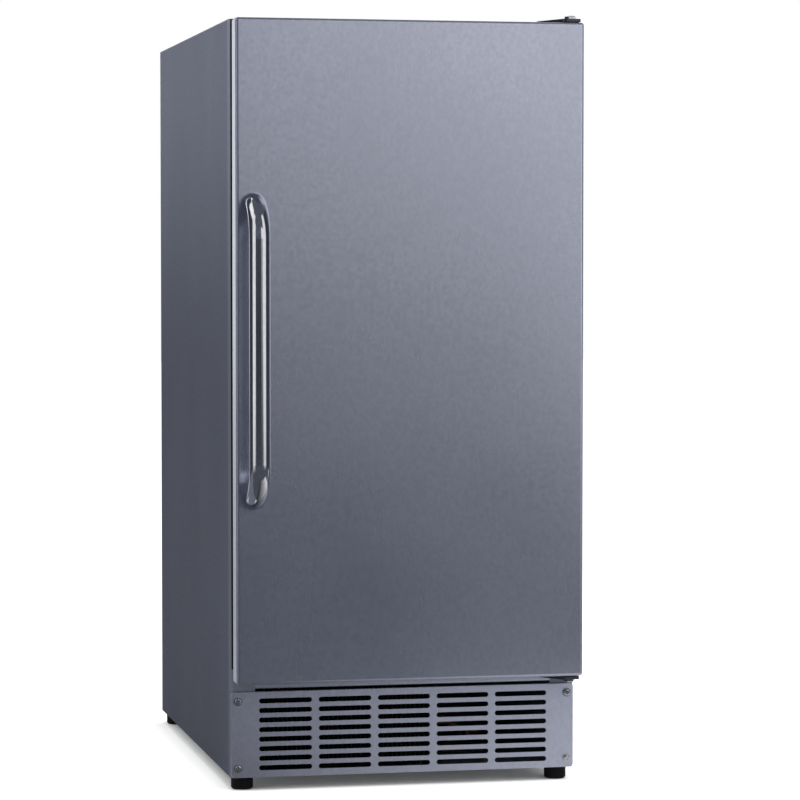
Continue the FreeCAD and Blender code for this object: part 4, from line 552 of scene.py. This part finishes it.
def cards():
    """Studio cards round the machine: floor, ceiling, a graded wall, bright strips and dark sides."""
    # Level cards: left, right, front, back and height, then the glow at the front and at the back
    level_card("floor_card", -6.0, 6.0, -7.5, -0.23, 0.001, 0.1, 0.1, COOL)
    grade(plane("floor_glow", (0.12, -0.46, 0.002), 0.48, 0.7, (0, 0, -math.pi / 2)), 0.0, 1.0)
    level_card("floor_back_card", -3.25, -0.25, 0.37, 8.03, 0.002, 0.55, 0.7)
    level_card("floor_near_card", -0.7, -0.25, -0.25, 0.37, 0.003, 0.2, 0.2, COOL)
    level_card("floor_left_card", -3.0, -0.7, -0.25, 1.8, 0.003, 0.2, 0.2, COOL)
    level_card("ceiling_card", -4.0, 4.0, -5.5, 1.5, 3.2, 0.12, 0.12, COOL)
    # Upright cards: bearings, distance, foot and head, then the glow at the foot and at the head
    card("wall_foot", -54, 20, 5.1, 0.0, 0.2, 0.06, 0.08, COOL)
    # Walls: bearings, then the glow at the foot, at the break and at the head
    wall("wall_left", -54, 4, 0.03, 0.14, 0.12, COOL)
    wall("wall_middle", 4, 11, 0.1, 0.85, 0.85)
    wall("wall_right", 11, 20, 0.12, 1.05, 1.05)
    # Side cards; a strip has bearings, distance and head
    strip("right_strip", 22, 49, 1.9, 3.4)
    card("right_dark_card", 51, 105, 2.2, 0.0, 3.0, 0.05, 0.05, COOL)
    strip("left_strip", -83, -57, 1.7, 2.2)
    card("left_high_strip", -130, -84, 2.1, 1.6, 3.4, 1.2, 1.2)
    card("left_dark_card", -150, -86, 2.2, 0.0, 3.0, 0.05, 0.05, COOL)


def lamp(name, spot, aim, width, height, power):
    """A soft rectangular lamp that faces a point; studio cards stand in for it in gloss."""
    light = bpy.data.lights.new(name, "AREA")
    light.shape = "RECTANGLE"
    light.size = width
    light.size_y = height
    light.energy = power
    item = bpy.data.objects.new(name, light)
    item.location = spot
    across, along, up = (end - start for start, end in zip(spot, aim))
    flat = math.hypot(across, along)
    item.rotation_euler = (math.atan2(flat, -up), 0, math.atan2(-across, along))
    item.visible_glossy = False
    bpy.context.collection.objects.link(item)
    return light


def key_lamp():
    """A wide soft lamp in front of the machine and above it."""
    spot = (0.5, -1.4, 2.8)
    aim = (0.0, -0.1, 0.4)
    lamp("key_lamp", spot, aim, width=2.4, height=2.4, power=50)


def side_lamp():
    """A long lamp with a narrow throw for the upper half of the left side."""
    spot = (-1.1, 0.1, 0.8)
    aim = (0.0, 0.1, 0.8)
    light = lamp("side_lamp", spot, aim, width=1.0, height=0.15, power=0.75)
    light.spread = math.radians(42)


# The camera of the photograph, from a fit of the box edges

CAMERA_PLACE = (-0.71335, -3.50655, 0.55421)
CAMERA_TILT = 2.392  # degrees below level
CAMERA_TURN = 12.171  # degrees to the right
LENS_LENGTH = 141.975  # millimetres
SENSOR_WIDTH = 36  # millimetres


def camera():
    """Set up the camera."""
    lens = bpy.data.cameras.new("camera")
    lens.sensor_width = SENSOR_WIDTH
    lens.lens = LENS_LENGTH
    item = bpy.data.objects.new("camera", lens)
    item.location = CAMERA_PLACE
    item.rotation_euler = (math.radians(90 - CAMERA_TILT), 0, math.radians(-CAMERA_TURN))
    bpy.context.collection.objects.link(item)
    bpy.context.scene.camera = item


dress_parts()
surroundings()
floor()
cards()
key_lamp()
side_lamp()
camera()
bpy.context.scene.view_settings.view_transform = "Standard"
